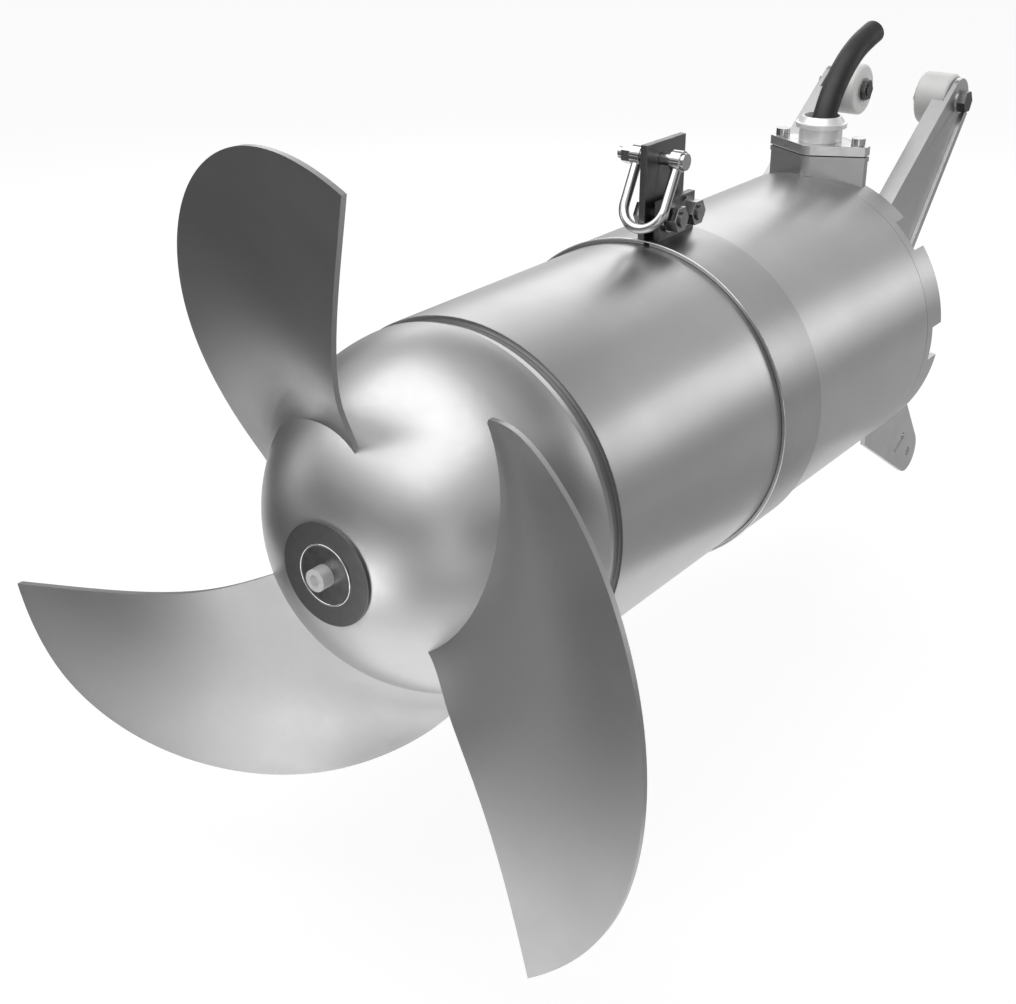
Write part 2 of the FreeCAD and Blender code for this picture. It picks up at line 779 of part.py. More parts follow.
def make_rear_bearing():
    start = rear_bearing_station
    end = rear_bearing_end
    lip = (rear_bearing_width - rear_roller_length) / 2 - cage_clearance
    lip_race = rear_roller_pitch + rear_roller_radius + roller_clearance - rear_race_lip
    inner_race = rear_roller_pitch - rear_roller_radius - roller_clearance
    outer_race = rear_roller_pitch + rear_roller_radius + roller_clearance
    outer = turned([(start, rear_bearing_radius), (end, rear_bearing_radius),
                    (end, lip_race), (end - lip, lip_race), (end - lip, outer_race),
                    (start + lip, outer_race), (start + lip, lip_race),
                    (start, lip_race)])
    inner = ring(inner_race, rear_seat_radius + seat_gap, start, end)
    write("rear_bearing_outer_ring", outer)
    write("rear_bearing_inner_ring", inner)
    first = start + (rear_bearing_width - rear_roller_length) / 2
    roller = Part.makeCylinder(rear_roller_radius, rear_roller_length,
                               Vector(rear_roller_pitch, first, 0), AXIS)
    rollers = around(roller, rear_roller_count)
    cage = ring(rear_roller_pitch + rear_cage_thickness / 2,
                rear_roller_pitch - rear_cage_thickness / 2,
                start + rear_cage_inset, end - rear_cage_inset)
    pocket = Part.makeCylinder(rear_roller_radius + cage_clearance,
                               rear_roller_length + 2 * cage_clearance,
                               Vector(rear_roller_pitch, first - cage_clearance, 0), AXIS)
    for cut in around(pocket, rear_roller_count):
        cage = cage.cut(cut)
    write("rear_bearing_rollers", Part.makeCompound(rollers + cage.Solids))
    bore = rear_bearing_radius + seat_gap
    wall = rear_bearing_radius + rear_shield_wall
    lip_radius = rear_bearing_radius - rear_shield_lip
    plate_front = start + rear_shield_setback
    plate_rear = plate_front + rear_shield_thickness
    floor_end = end + rear_shield_floor
    brim = start - rear_shield_brim
    shield = [(plate_front, casing_bore - seat_gap), (plate_rear, casing_bore - seat_gap),
              (plate_rear, wall + rear_shield_slope), (floor_end, wall),
              (floor_end, lip_radius), (end, lip_radius), (end, bore), (brim, bore),
              (brim, wall), (plate_front, wall + rear_shield_front_slope)]
    write("rear_bearing_shield", turned(shield))


# Rear cover

def diamond(half_width, half_depth, end_half, rounding, bottom, top):
    """A rounded diamond plan about the cable entry, pointing forwards and back."""
    corners = [Vector(0, -half_depth, bottom), Vector(half_width, -end_half, bottom),
               Vector(half_width, end_half, bottom), Vector(0, half_depth, bottom),
               Vector(-half_width, end_half, bottom), Vector(-half_width, -end_half, bottom)]
    block = Part.Face(Part.makePolygon(corners + [corners[0]])).extrude(Vector(0, 0, top - bottom))
    upright = []
    for edge in block.Edges:
        low, high = edge.Vertexes[0].Point, edge.Vertexes[-1].Point
        if abs(low.z - high.z) > 0.5 * (top - bottom) and abs(low.x) < 0.1:
            upright.append(edge)
    rounded = block.makeFillet(rounding, upright)
    rounded.translate(Vector(0, tower_station, 0))
    return rounded


def clear_of_tower(index):
    """Whether a notch and its screw stand beside the tower, not under it."""
    spacing = 360.0 / notch_count
    return abs(notch_first_angle + spacing * index - 90) > spacing / 2


def make_notches():
    """Gaps in the skirt for a spanner on each cover screw, none under the tower."""
    half = math.radians(notch_width_angle / 2)
    reach = casing_radius + 10
    tool = Part.Face(Part.makePolygon([
        Vector(reach * 0.6 * math.cos(-half), 0, reach * 0.6 * math.sin(-half)),
        Vector(reach * math.cos(-half), 0, reach * math.sin(-half)),
        Vector(reach * math.cos(half), 0, reach * math.sin(half)),
        Vector(reach * 0.6 * math.cos(half), 0, reach * 0.6 * math.sin(half)),
        Vector(reach * 0.6 * math.cos(-half), 0, reach * 0.6 * math.sin(-half))]))
    tool = tool.extrude(Vector(0, notch_depth, 0))
    tool.translate(Vector(0, skirt_end - notch_depth + 1, 0))
    cuts = around(tool, notch_count, notch_first_angle)
    return [cut for index, cut in enumerate(cuts) if clear_of_tower(index)]


def cover_screw_places():
    angles = [notch_first_angle + 360.0 * index / notch_count for index in range(notch_count)]
    return [angle for index, angle in enumerate(angles) if clear_of_tower(index)]


def bracket_bolt_places():
    return [(x * bracket_bolt_spacing_x / 2, z * bracket_bolt_spacing_z / 2)
            for x in (-1, 1) for z in (-1, 1)]


def make_rear_cover():
    disc = rod(casing_radius, casing_end, cover_end)
    spigot = ring(casing_bore - seat_gap, casing_bore - o_ring_section - spigot_wall,
                  spigot_front, casing_end)
    spigot = spigot.cut(ring(casing_bore + 1, casing_bore - o_ring_section - 2 * seat_gap,
                             spigot_front - 1, spigot_front + o_ring_section + 2 * seat_gap))
    skirt = ring(casing_radius, casing_radius - skirt_wall, cover_end, skirt_end)
    for cut in make_notches():
        skirt = skirt.cut(cut)
    tower = diamond(tower_half_width, tower_half_depth, tower_end_half, tower_rounding,
                    tower_floor, tower_top)
    lip = diamond(tower_half_width + tower_lip_margin, tower_half_depth + tower_lip_margin,
                  tower_end_half + tower_lip_margin, tower_rounding,
                  tower_top - tower_lip_height, tower_top)
    tower = tower.fuse(lip)
    tower = tower.cut(rod(casing_radius + seat_gap, casing_start, casing_end))
    cover = disc.fuse([spigot, skirt, tower])
    cavity_half_width = entry_screw_spacing / 2 - entry_screw_radius - tower_wall / 2
    cover = cover.cut(diamond(cavity_half_width, tower_half_depth - tower_wall, tower_end_half,
                              tower_rounding / 2, tower_floor + tower_wall, tower_top + 1))
    passage = Part.makeCylinder(passage_radius, tower_station - spigot_front,
                                Vector(0, spigot_front, tower_floor + passage_radius + passage_sill),
                                AXIS)
    cover = cover.cut(passage)
    for angle in cover_screw_places():
        hole = Part.makeCylinder(cover_screw_radius + seat_gap, cover_thickness + 2,
                                 polar(cover_screw_circle, angle, casing_end - 1), AXIS)
        cover = cover.cut(hole)
    for side in (-1, 1):
        hole = post(entry_screw_radius + seat_gap, side * entry_screw_spacing / 2, tower_station,
                    tower_top - entry_screw_reach - bracket_hole_spare, tower_top + 1)
        cover = cover.cut(hole)
    hole_depth = bracket_bolt_reach + bracket_hole_spare
    bosses = []
    holes = []
    for x, z in bracket_bolt_places():
        bosses.append(Part.makeCylinder(cover_boss_radius, bracket_start - cover_end + 1,
                                        Vector(x, cover_end - 1, z), AXIS))
        holes.append(Part.makeCylinder(bracket_bolt_radius + seat_gap, hole_depth + 1,
                                       Vector(x, bracket_start - hole_depth, z), AXIS))
    cover = cover.fuse(bosses)
    for hole in holes:
        cover = cover.cut(hole)
    write("rear_cover", cover.removeSplitter())


def make_cover_screws():
    screws = []
    for angle in cover_screw_places():
        shank = Part.makeCylinder(cover_screw_radius, cover_thickness,
                                  polar(cover_screw_circle, angle, casing_end), AXIS)
        head = Part.makeCylinder(cover_screw_head_radius, cover_screw_head_length,
                                 polar(cover_screw_circle, angle, cover_end), AXIS)
        place = polar(cover_screw_circle, angle, 0)
        socket = hexagon_along(cover_screw_radius * 1.6, cover_end + cover_screw_head_length / 2,
                               cover_end + cover_screw_head_length + 1, place.x, place.z)
        screws.append(shank.fuse(head).cut(socket))
    write("rear_cover_screws", Part.makeCompound(screws))


def make_cable_entry():
    cover_bottom = tower_top + gasket_thickness
    cover_top = cover_bottom + entry_cover_thickness
    gasket = diamond(tower_half_width - gasket_inset, tower_half_depth - gasket_inset,
                     tower_end_half, tower_rounding, tower_top, cover_bottom)
    plate = diamond(tower_half_width + entry_cover_margin, tower_half_depth + entry_cover_margin,
                    tower_end_half + entry_cover_margin, tower_rounding, cover_bottom, cover_top)
    gasket = gasket.cut(post(gland_thread_radius + gasket_bore_gap, 0, tower_station,
                             tower_top - 1, cover_top))
    plate = plate.cut(post(gland_thread_radius + seat_gap, 0, tower_station,
                           cover_bottom - 1, cover_top + 1))
    screws = []
    for side in (-1, 1):
        x = side * entry_screw_spacing / 2
        hole = post(entry_screw_radius + seat_gap, x, tower_station, tower_top - 1, cover_top + 1)
        gasket = gasket.cut(hole)
        plate = plate.cut(hole)
        shank = post(entry_screw_radius, x, tower_station, tower_top - entry_screw_reach, cover_top)
        head = post(entry_screw_head_radius, x, tower_station, cover_top,
                    cover_top + entry_screw_head_length)
        screws.append(shank.fuse(head))
    write("cable_entry_gasket", gasket)
    write("cable_entry_cover", plate)
    write("cable_entry_screws", Part.makeCompound(screws))
    return cover_bottom, cover_top


def make_gland(cover_bottom, cover_top):
    base_top = cover_top + gland_base_height
    flange_top = base_top + gland_flange_height
    gland_top = cover_top + gland_height
    cable_foot = tower_top + cable_points[0][2] - cable_start_drop
    sleeve_top = flange_top - 1
    body = post(gland_base_radius, 0, tower_station, cover_top, base_top)
    body = body.fuse(post(gland_thread_radius, 0, tower_station, cover_bottom, cover_top))
    body = body.cut(post(seal_sleeve_radius + seat_gap, 0, tower_station,
                         cover_bottom - 1, base_top + 1))
    write("gland_body", body)
    nut = post(gland_flange_radius, 0, tower_station, base_top, flange_top)
    neck = Part.makeCone(gland_flange_radius - 2, gland_neck_radius, gland_top - flange_top,
                         Vector(0, tower_station, flange_top), UP)
    mouth = Part.makeCone(cable_radius + seat_gap, gland_mouth_radius, gland_mouth_depth,
                          Vector(0, tower_station, gland_top - gland_mouth_depth), UP)
    nut = nut.fuse(neck).cut(mouth)
    nut = nut.cut(post(cable_radius + seat_gap, 0, tower_station, base_top - 1, gland_top))
    nut = nut.cut(post(seal_sleeve_radius + seat_gap, 0, tower_station, base_top - 1, sleeve_top))
    write("gland_nut", nut)
    sleeve = post(seal_sleeve_radius, 0, tower_station, cover_bottom, cable_foot)
    sleeve = sleeve.cut(post(cable_radius + seat_gap, 0, tower_station, cover_bottom - 1, cable_foot + 1))
    write("cable_seal_sleeve", sleeve)
    tail_end = tower_floor + tower_wall + tail_rise
    write("cable_tail", post(cable_radius, 0, tower_station, tail_end, cable_foot))
    block = Part.makeBox(terminal_width, terminal_depth, terminal_height,
                         Vector(-terminal_width / 2, tower_station - terminal_depth / 2,
                                tower_floor + tower_wall))
    write("terminal_block", block)


def make_cable():
    """A tube of straight runs joined by tangent arcs."""
    points = [Vector(x, tower_station + y, tower_top + z) for x, y, z in cable_points]
    edges = []
    start = points[0]
    for index in range(1, len(points) - 1):
        before, corner, after = points[index - 1], points[index], points[index + 1]
        incoming = (corner - before).normalize()
        outgoing = (after - corner).normalize()
        turn = math.acos(max(-1.0, min(1.0, incoming.dot(outgoing))))
        shorter = min((corner - before).Length, (after - corner).Length)
        trim = arc_share * shorter
        first = corner - incoming * trim
        last = corner + outgoing * trim
        radius = trim / math.tan(turn / 2)
        print("cable radius", round(radius, 1), "turn", round(math.degrees(turn), 1))
        middle_way = (outgoing - incoming).normalize()
        sagitta = radius * (1 / math.cos(turn / 2) - 1)
        middle = corner + middle_way * sagitta
        edges.append(Part.makeLine(start, first))
        edges.append(Part.Arc(first, middle, last).toShape())
        start = last
    edges.append(Part.makeLine(start, points[-1]))
    path = Part.Wire(edges)
    circle = Part.Wire(Part.makeCircle(cable_radius, points[0], points[1] - points[0]))
    tube = path.makePipeShell([circle], True, True)
    write("power_cable", tube)
    print("cable length", round(path.Length, 1), "volume",
          round(tube.Volume, 1), "section by length",
          round(math.pi * cable_radius ** 2 * path.Length, 1))


# Lifting band and shackle

def make_band():
    band_outer = casing_radius + seat_gap + band_thickness
    band = ring(band_outer, casing_radius + seat_gap, band_front, band_rear)
    plate_half = lift_plate_thickness / 2
    split = Part.makeBox(band_split, band_width + 2, casing_radius,
                         Vector(plate_half, band_front - 1, casing_radius / 2))
    write("lifting_band", band.cut(split))
    plate_foot = math.sqrt(band_outer ** 2 - plate_half ** 2)
    plate = Part.makeBox(lift_plate_thickness, lift_plate_width, lift_plate_top - plate_foot + 4,
                         Vector(-plate_half, band_front, plate_foot - 4))
    plate = plate.cut(rod(band_outer, band_front - 1, band_rear + 1))
    plate = plate.cut(pin(shackle_pin_radius + shackle_pin_clearance, -plate_half - 1,
                          plate_half + 1, pin_station, pin_height))
    ear_left = plate_half + band_split
    ear = Part.makeBox(ear_thickness, lift_plate_width - ear_inset, ear_top - plate_foot + 6,
                       Vector(ear_left, band_front + ear_inset, plate_foot - 6))
    ear = ear.cut(rod(band_outer, band_front - 1, band_rear + 1))
    bolts = []
    nuts = []
    washers = []
    ear_right = ear_left + ear_thickness
    for station in (band_front + clamp_front_inset,
                    band_front + lift_plate_width - clamp_rear_inset):
        hole = pin(clamp_bolt_radius + seat_gap, -plate_half - 1, ear_right + 1,
                   station, clamp_bolt_height)
        plate = plate.cut(hole)
        ear = ear.cut(hole)
        head_left = -plate_half - clamp_washer_thickness - clamp_head_height
        nut_left = ear_right + clamp_washer_thickness
        nut_right = nut_left + clamp_nut_height
        head = hexagon_across(clamp_head_flats, head_left, -plate_half - clamp_washer_thickness,
                              station, clamp_bolt_height)
        shank = pin(clamp_bolt_radius, head_left + 1, nut_right + clamp_bolt_end,
                    station, clamp_bolt_height)
        bolts.append(head.fuse(shank))
        bore = pin(clamp_bolt_radius + seat_gap, -casing_radius, casing_radius,
                   station, clamp_bolt_height)
        nut = hexagon_across(clamp_head_flats, nut_left, nut_right, station, clamp_bolt_height)
        nuts.append(nut.cut(bore))
        for left in (-plate_half - clamp_washer_thickness, ear_right):
            washer = pin(clamp_washer_radius, left, left + clamp_washer_thickness,
                         station, clamp_bolt_height)
            washers.append(washer.cut(bore))
    write("lifting_plate", plate)
    write("band_ear", ear)
    write("clamp_bolts", Part.makeCompound(bolts))
    write("clamp_nuts", Part.makeCompound(nuts))
    write("clamp_washers", Part.makeCompound(washers))


def lean(shape):
    """Swing the shackle forwards about its pin until it rests on the plate."""
    shape.rotate(Vector(0, pin_station, pin_height), ACROSS, -shackle_lean)
    return shape


def make_shackle():
    bend = pin_height - shackle_drop + shackle_spread
    left_top = Vector(-shackle_spread, pin_station, pin_height)
    left_low = Vector(-shackle_spread, pin_station, bend)
    right_low = Vector(shackle_spread, pin_station, bend)
    right_top = Vector(shackle_spread, pin_station, pin_height)
    lowest = Vector(0, pin_station, bend - shackle_spread)
    path = Part.Wire([Part.makeLine(left_top, left_low),
                      Part.Arc(left_low, lowest, right_low).toShape(),
                      Part.makeLine(right_low, right_top)])
    circle = Part.Wire(Part.makeCircle(shackle_section, left_top, Vector(0, 0, -1)))
    bow = path.makePipeShell([circle], True, True)
    half = shackle_eye_width / 2
    for side in (-1, 1):
        middle = side * shackle_spread
        eye = pin(shackle_eye_radius, middle - half, middle + half, pin_station, pin_height)
        bow = bow.fuse(eye)
    bore = pin(shackle_pin_radius + seat_gap, -casing_radius, casing_radius,
               pin_station, pin_height)
    bow = bow.cut(bore)
    write("shackle_bow", lean(bow.removeSplitter()))
    outside = shackle_spread + half
    head = pin(shackle_head_radius, outside, outside + shackle_head_length, pin_station, pin_height)
    nut_left = -outside - shackle_nut_height
    bolt = pin(shackle_pin_radius, nut_left - shackle_pin_end, outside + 1, pin_station, pin_height)
    write("shackle_pin", lean(bolt.fuse(head)))
    nut = hexagon_across(shackle_nut_flats, nut_left, -outside, pin_station, pin_height)
    write("shackle_nut", lean(nut.cut(bore)))


# Guide bracket and rollers

def tangent_foot(centre, radius, root, side):
    """Where the line from root touches the arm's round end, on the given side."""
    dy, dz = centre[0] - root[0], centre[1] - root[1]
    distance = math.hypot(dy, dz)
    angle = math.atan2(dz, dy) + side * math.asin(radius / distance)
    reach = math.sqrt(distance ** 2 - radius ** 2)
    return root[0] + reach * math.cos(angle), root[1] + reach * math.sin(angle)


def side_outline():
    """Corners of a side plate and the tangent points of its two round ends."""
    top = (roller_station, upper_arm_height)
    low = (lower_arm_station, lower_arm_height)
    spine = bracket_rear + bracket_spine_depth
    top_front = (bracket_start, upper_arm_root)
    top_rear = (spine, upper_arm_rear_root)
    low_rear = (spine, lower_arm_rear_root)
    low_front = (bracket_start, lower_arm_root)
    return top, low, top_front, top_rear, low_rear, low_front


def make_side_plate(left):
    top, low, top_front, top_rear, low_rear, low_front = side_outline()

    def at(point):
        return Vector(left, point[0], point[1])

    up_first = tangent_foot(top, upper_arm_radius, top_front, 1)
    up_last = tangent_foot(top, upper_arm_radius, top_rear, -1)
    down_first = tangent_foot(low, lower_arm_radius, low_rear, 1)
    down_last = tangent_foot(low, lower_arm_radius, low_front, -1)
    up_middle = (top[0] + upper_arm_radius * 0.9165, top[1] + upper_arm_radius * 0.4)
    down_middle = (low[0] + lower_arm_radius * 0.6, low[1] - lower_arm_radius * 0.8)
    edges = [Part.makeLine(at(top_front), at(up_first)),
             Part.Arc(at(up_first), at(up_middle), at(up_last)).toShape(),
             Part.makeLine(at(up_last), at(top_rear)),
             Part.makeLine(at(top_rear), at(low_rear)),
             Part.makeLine(at(low_rear), at(down_first)),
             Part.Arc(at(down_first), at(down_middle), at(down_last)).toShape(),
             Part.makeLine(at(down_last), at(low_front)),
             Part.makeLine(at(low_front), at(top_front))]
    plate = Part.Face(Part.Wire(edges)).extrude(Vector(bracket_side_thickness, 0, 0))
    return plate, up_first, up_last


def bar_along(start, end, share, left, right, depth):
    """A strip beside the line from start to end, lying on its lower right side."""
    dy, dz = (end[0] - start[0]) * share, (end[1] - start[1]) * share
    length = math.hypot(dy, dz)
    ny, nz = dz / length * depth, -dy / length * depth
    corners = [Vector(left, start[0], start[1]), Vector(left, start[0] + dy, start[1] + dz),
               Vector(left, start[0] + dy + ny, start[1] + dz + nz),
               Vector(left, start[0] + ny, start[1] + nz)]
    return Part.Face(Part.makePolygon(corners + [corners[0]])).extrude(Vector(right - left, 0, 0))


def make_bracket_sides():
    top, low, top_front, top_rear, low_rear, low_front = side_outline()
    for name, side in (("left", -1), ("right", 1)):
        left = arm_inner if side > 0 else -bracket_outer
        plate, up_first, up_last = make_side_plate(left)
        inner = side * arm_inner
        flange_tip = side * (arm_inner - arm_flange_width)
        flange = bar_along(top_front, up_first, arm_flange_length_share,
                           min(inner, flange_tip), max(inner, flange_tip), bracket_side_thickness)
        outer = side * bracket_outer
        hem_tip = side * (bracket_outer + arm_hem_height)
        hem = bar_along(up_last, top_rear, 1.0, min(outer, hem_tip), max(outer, hem_tip),
                        arm_hem_width)
        plate = plate.fuse([flange, hem])
        plate = plate.cut(pin(roller_bolt_radius + seat_gap, left - 1,
                              left + bracket_side_thickness + 1, top[0], top[1]))
        plate = plate.cut(pin(lower_hole_radius, left - 1,
                              left + bracket_side_thickness + 1, low[0], low[1]))
        slot_middle = Vector(left - 1, bar_station + slot_reach, slot_height)
        slot = Part.makeBox(bracket_side_thickness + 2, slot_length - slot_width, slot_width,
                            slot_middle - Vector(0, (slot_length - slot_width) / 2, slot_width / 2))
        for end in (-1, 1):
            offset = end * (slot_length - slot_width) / 2
            slot = slot.fuse(pin(slot_width / 2, left - 1, left + bracket_side_thickness + 1,
                                 slot_middle.y + offset, slot_middle.z))
        slot.rotate(slot_middle, ACROSS, slot_tilt)
        plate = plate.cut(slot)
        write("guide_bracket_" + name, plate.removeSplitter())


def make_bracket_plate():
    half = bracket_plate_width / 2
    plate = Part.makeBox(bracket_plate_width, bracket_plate_thickness, bracket_plate_height,
                         Vector(-half, bracket_start,
                                -bracket_plate_height / 2 - bracket_plate_drop))
    upright = [edge for edge in plate.Edges
               if abs(edge.Vertexes[0].Point.y - edge.Vertexes[-1].Point.y) > 1]
    plate = plate.makeFillet(bracket_plate_corner, upright)
    space_half = tower_half_width + bracket_tower_gap
    tower_space = Part.makeBox(2 * space_half, bracket_plate_thickness + 2, casing_radius,
                               Vector(-space_half, bracket_start - 1, tower_floor - bracket_tower_gap))
    plate = plate.cut(tower_space)
    saddle_end = bar_front - guide_bar_gap
    for level in (-1, 1):
        bottom = level * saddle_level - saddle_drop - saddle_height / 2
        shell = Part.makeBox(saddle_width, saddle_end - bracket_rear, saddle_height,
                             Vector(-saddle_width / 2, bracket_rear, bottom))
        hollow = Part.makeBox(saddle_width - 2 * saddle_wall, saddle_end - bracket_rear - saddle_wall,
                              saddle_height + 2,
                              Vector(-saddle_width / 2 + saddle_wall, bracket_rear, bottom - 1))
        plate = plate.fuse(shell.cut(hollow))
    bolts = []
    for x, z in bracket_bolt_places():
        hole = Part.makeCylinder(bracket_bolt_radius + seat_gap, bracket_plate_thickness + 2,
                                 Vector(x, bracket_start - 1, z), AXIS)
        plate = plate.cut(hole)
        shank = Part.makeCylinder(bracket_bolt_radius, bracket_plate_thickness + bracket_bolt_reach,
                                  Vector(x, bracket_start - bracket_bolt_reach, z), AXIS)
        head = hexagon_along(clamp_head_flats, bracket_rear, bracket_rear + bracket_bolt_head, x, z)
        bolts.append(shank.fuse(head))
    write("guide_bracket_plate", plate.removeSplitter())
    write("guide_bracket_bolts", Part.makeCompound(bolts))


def make_rollers():
    bolts = []
    nuts = []
    washers = []
    y = roller_station
    z = upper_arm_height
    for name, side in (("left", -1), ("right", 1)):
        outer_washer = arm_inner - roller_washer_thickness
        outer_face = outer_washer - guide_roller_side_gap
        inner_face = outer_face - guide_roller_width
        nut_seat = inner_face - guide_roller_side_gap
        roller = pin(guide_roller_radius, min(side * outer_face, side * inner_face),
                     max(side * outer_face, side * inner_face), y, z)
        rims = [edge for edge in roller.Edges if abs(edge.Length - 2 * math.pi * guide_roller_radius) < 1]
        roller = roller.makeFillet(guide_roller_edge, rims)
        roller = roller.cut(pin(roller_bolt_radius + roller_bolt_clearance,
                                -bracket_outer, bracket_outer, y, z))
        write("guide_roller_" + name, roller)
        washer_inner = nut_seat - roller_washer_thickness
        nut_inner = washer_inner - roller_nut_height
        bolt_end = nut_inner - roller_bolt_spare
        head_out = bracket_outer + roller_washer_thickness + roller_bolt_head
        head_in = bracket_outer + roller_washer_thickness

        def sided(maker, near, far):
            return maker(min(side * near, side * far), max(side * near, side * far))

        shank = sided(lambda a, b: pin(roller_bolt_radius, a, b, y, z), bolt_end, head_in + 1)
        head = sided(lambda a, b: hexagon_across(roller_bolt_flats, a, b, y, z), head_in, head_out)
        bolts.append(shank.fuse(head))
        bore = pin(roller_bolt_radius + seat_gap, -2 * bracket_outer, 2 * bracket_outer, y, z)
        nut = sided(lambda a, b: hexagon_across(roller_bolt_flats, a, b, y, z), nut_inner, washer_inner)
        nuts.append(nut.cut(bore))
        for near, far in ((washer_inner, nut_seat), (outer_washer, arm_inner), (bracket_outer, head_in)):
            washer = sided(lambda a, b: pin(roller_washer_radius, a, b, y, z), near, far)
            washers.append(washer.cut(bore))
    write("roller_bolts", Part.makeCompound(bolts))
    write("roller_nuts", Part.makeCompound(nuts))
    write("roller_washers", Part.makeCompound(washers))


write("propeller_hub", make_hub())
make_blades()
make_nose()
make_shaft()
seal_seat_start = make_seal_housing()
make_seals(seal_seat_start)
make_bearing_housing()
make_front_bearings()
make_retainer()
make_casing()
make_motor()
make_rear_bearing()
make_rear_cover()
make_cover_screws()
entry_bottom, entry_top = make_cable_entry()
make_gland(entry_bottom, entry_top)
make_cable()
make_band()
make_shackle()
make_bracket_sides()
make_bracket_plate()
make_rollers()

print("bar station", bar_station, "roller", roller_station - bar_station,
      "pin", pin_station - bar_station, pin_height)
print("hub rim at", -bar_station, "nose", nose_station - bar_station)
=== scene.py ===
import bpy
import bmesh
import math
from mathutils import Vector, Matrix


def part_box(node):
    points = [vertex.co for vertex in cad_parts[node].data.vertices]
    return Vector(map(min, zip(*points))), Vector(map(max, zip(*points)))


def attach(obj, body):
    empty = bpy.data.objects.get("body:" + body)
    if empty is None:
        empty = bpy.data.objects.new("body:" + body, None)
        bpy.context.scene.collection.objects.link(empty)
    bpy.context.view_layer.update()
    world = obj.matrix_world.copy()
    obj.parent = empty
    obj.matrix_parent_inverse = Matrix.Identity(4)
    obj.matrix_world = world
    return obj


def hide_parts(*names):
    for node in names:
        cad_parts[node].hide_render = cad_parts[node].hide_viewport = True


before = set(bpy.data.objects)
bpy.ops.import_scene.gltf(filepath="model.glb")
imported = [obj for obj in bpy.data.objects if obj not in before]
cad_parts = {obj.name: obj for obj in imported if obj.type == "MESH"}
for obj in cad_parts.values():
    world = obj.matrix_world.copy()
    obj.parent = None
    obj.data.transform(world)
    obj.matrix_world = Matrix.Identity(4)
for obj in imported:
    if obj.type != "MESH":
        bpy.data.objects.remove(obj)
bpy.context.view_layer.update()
print("frame loaded")

# camera where the photographer stood, a little to the right and above
cameraPlace = {
    "location": (0.6341, -1.4459, 0.4801),
    "lookingAlong": (-0.53666, 0.72809, -0.42648),
    "lens": 54.69,
    "sensor": 36.0,
    "nearest": 0.01,
    "furthest": 60.0,
}


def addCamera():
    data = bpy.data.cameras.new("photoCamera")
    data.lens = cameraPlace["lens"]
    data.sensor_width = cameraPlace["sensor"]
    data.clip_start = cameraPlace["nearest"]
    data.clip_end = cameraPlace["furthest"]
    camera = bpy.data.objects.new("photoCamera", data)
    bpy.context.scene.collection.objects.link(camera)
    camera.location = cameraPlace["location"]
    camera.rotation_euler = Vector(cameraPlace["lookingAlong"]).to_track_quat("-Z", "Y").to_euler()
    bpy.context.scene.camera = camera


addCamera()


# helpers for materials

def grey(level):
    return (level, level, level)


def emptyMaterial(name):
    material = bpy.data.materials.new(name)
    material.use_nodes = True
    tree = material.node_tree
    tree.nodes.clear()
    return material, tree, tree.nodes.new("ShaderNodeOutputMaterial")


def surfaceMaterial(name, metallic):
    material, tree, output = emptyMaterial(name)
    shader = tree.nodes.new("ShaderNodeBsdfPrincipled")
    shader.inputs["Metallic"].default_value = metallic
    tree.links.new(shader.outputs["BSDF"], output.inputs["Surface"])
    return material, tree, shader


def objectPoints(tree, scale=(1, 1, 1)):
    # object coordinates through a mapping, so that a pattern can be stretched
    coordinates = tree.nodes.new("ShaderNodeTexCoord")
    mapping = tree.nodes.new("ShaderNodeMapping")
    mapping.inputs["Scale"].default_value = scale
    tree.links.new(coordinates.outputs["Object"], mapping.inputs["Vector"])
    return mapping.outputs["Vector"]


def turnedPoints(tree):
    # distance from the mixer's axis, for the rings that a lathe leaves on a flat face
    flat = objectPoints(tree, (1, 0, 1))
    distance = tree.nodes.new("ShaderNodeVectorMath")
    distance.operation = "LENGTH"
    ring = tree.nodes.new("ShaderNodeCombineXYZ")
    tree.links.new(flat, distance.inputs[0])
    tree.links.new(distance.outputs["Value"], ring.inputs["X"])
    return ring.outputs["Vector"]


def addNoise(tree, vector, scale, detail, roughness):
    noise = tree.nodes.new("ShaderNodeTexNoise")
    noise.inputs["Scale"].default_value = scale
    noise.inputs["Detail"].default_value = detail
    noise.inputs["Roughness"].default_value = roughness
    tree.links.new(vector, noise.inputs["Vector"])
    return noise.outputs["Fac"]


def addRange(tree, noise, low, high):
    # noise lies mostly between 0.3 and 0.7, and those become low and high
    node = tree.nodes.new("ShaderNodeMapRange")
    node.inputs["From Min"].default_value = 0.3
    node.inputs["From Max"].default_value = 0.7
    node.inputs["To Min"].default_value = low
    node.inputs["To Max"].default_value = high
    tree.links.new(noise, node.inputs["Value"])
    return node.outputs["Result"]


def addMix(tree, factor, first, second):
    # each of the two is a colour or another node's output
    node = tree.nodes.new("ShaderNodeMix")
    node.data_type = "RGBA"
    for socket, colour in (("A", first), ("B", second)):
        if isinstance(colour, tuple):
            node.inputs[socket].default_value = (*colour, 1)
        else:
            tree.links.new(colour, node.inputs[socket])
    tree.links.new(factor, node.inputs["Factor"])
    return node.outputs["Result"]


def addSum(tree, first, second):
    node = tree.nodes.new("ShaderNodeMath")
    node.operation = "ADD"
    tree.links.new(first, node.inputs[0])
    tree.links.new(second, node.inputs[1])
    return node.outputs[0]


def addBump(tree, height, distance, strength, normal=None):
    node = tree.nodes.new("ShaderNodeBump")
    node.inputs["Distance"].default_value = distance
    node.inputs["Strength"].default_value = strength
    tree.links.new(height, node.inputs["Height"])
    if normal is not None:
        tree.links.new(normal, node.inputs["Normal"])
    return node.outputs["Normal"]


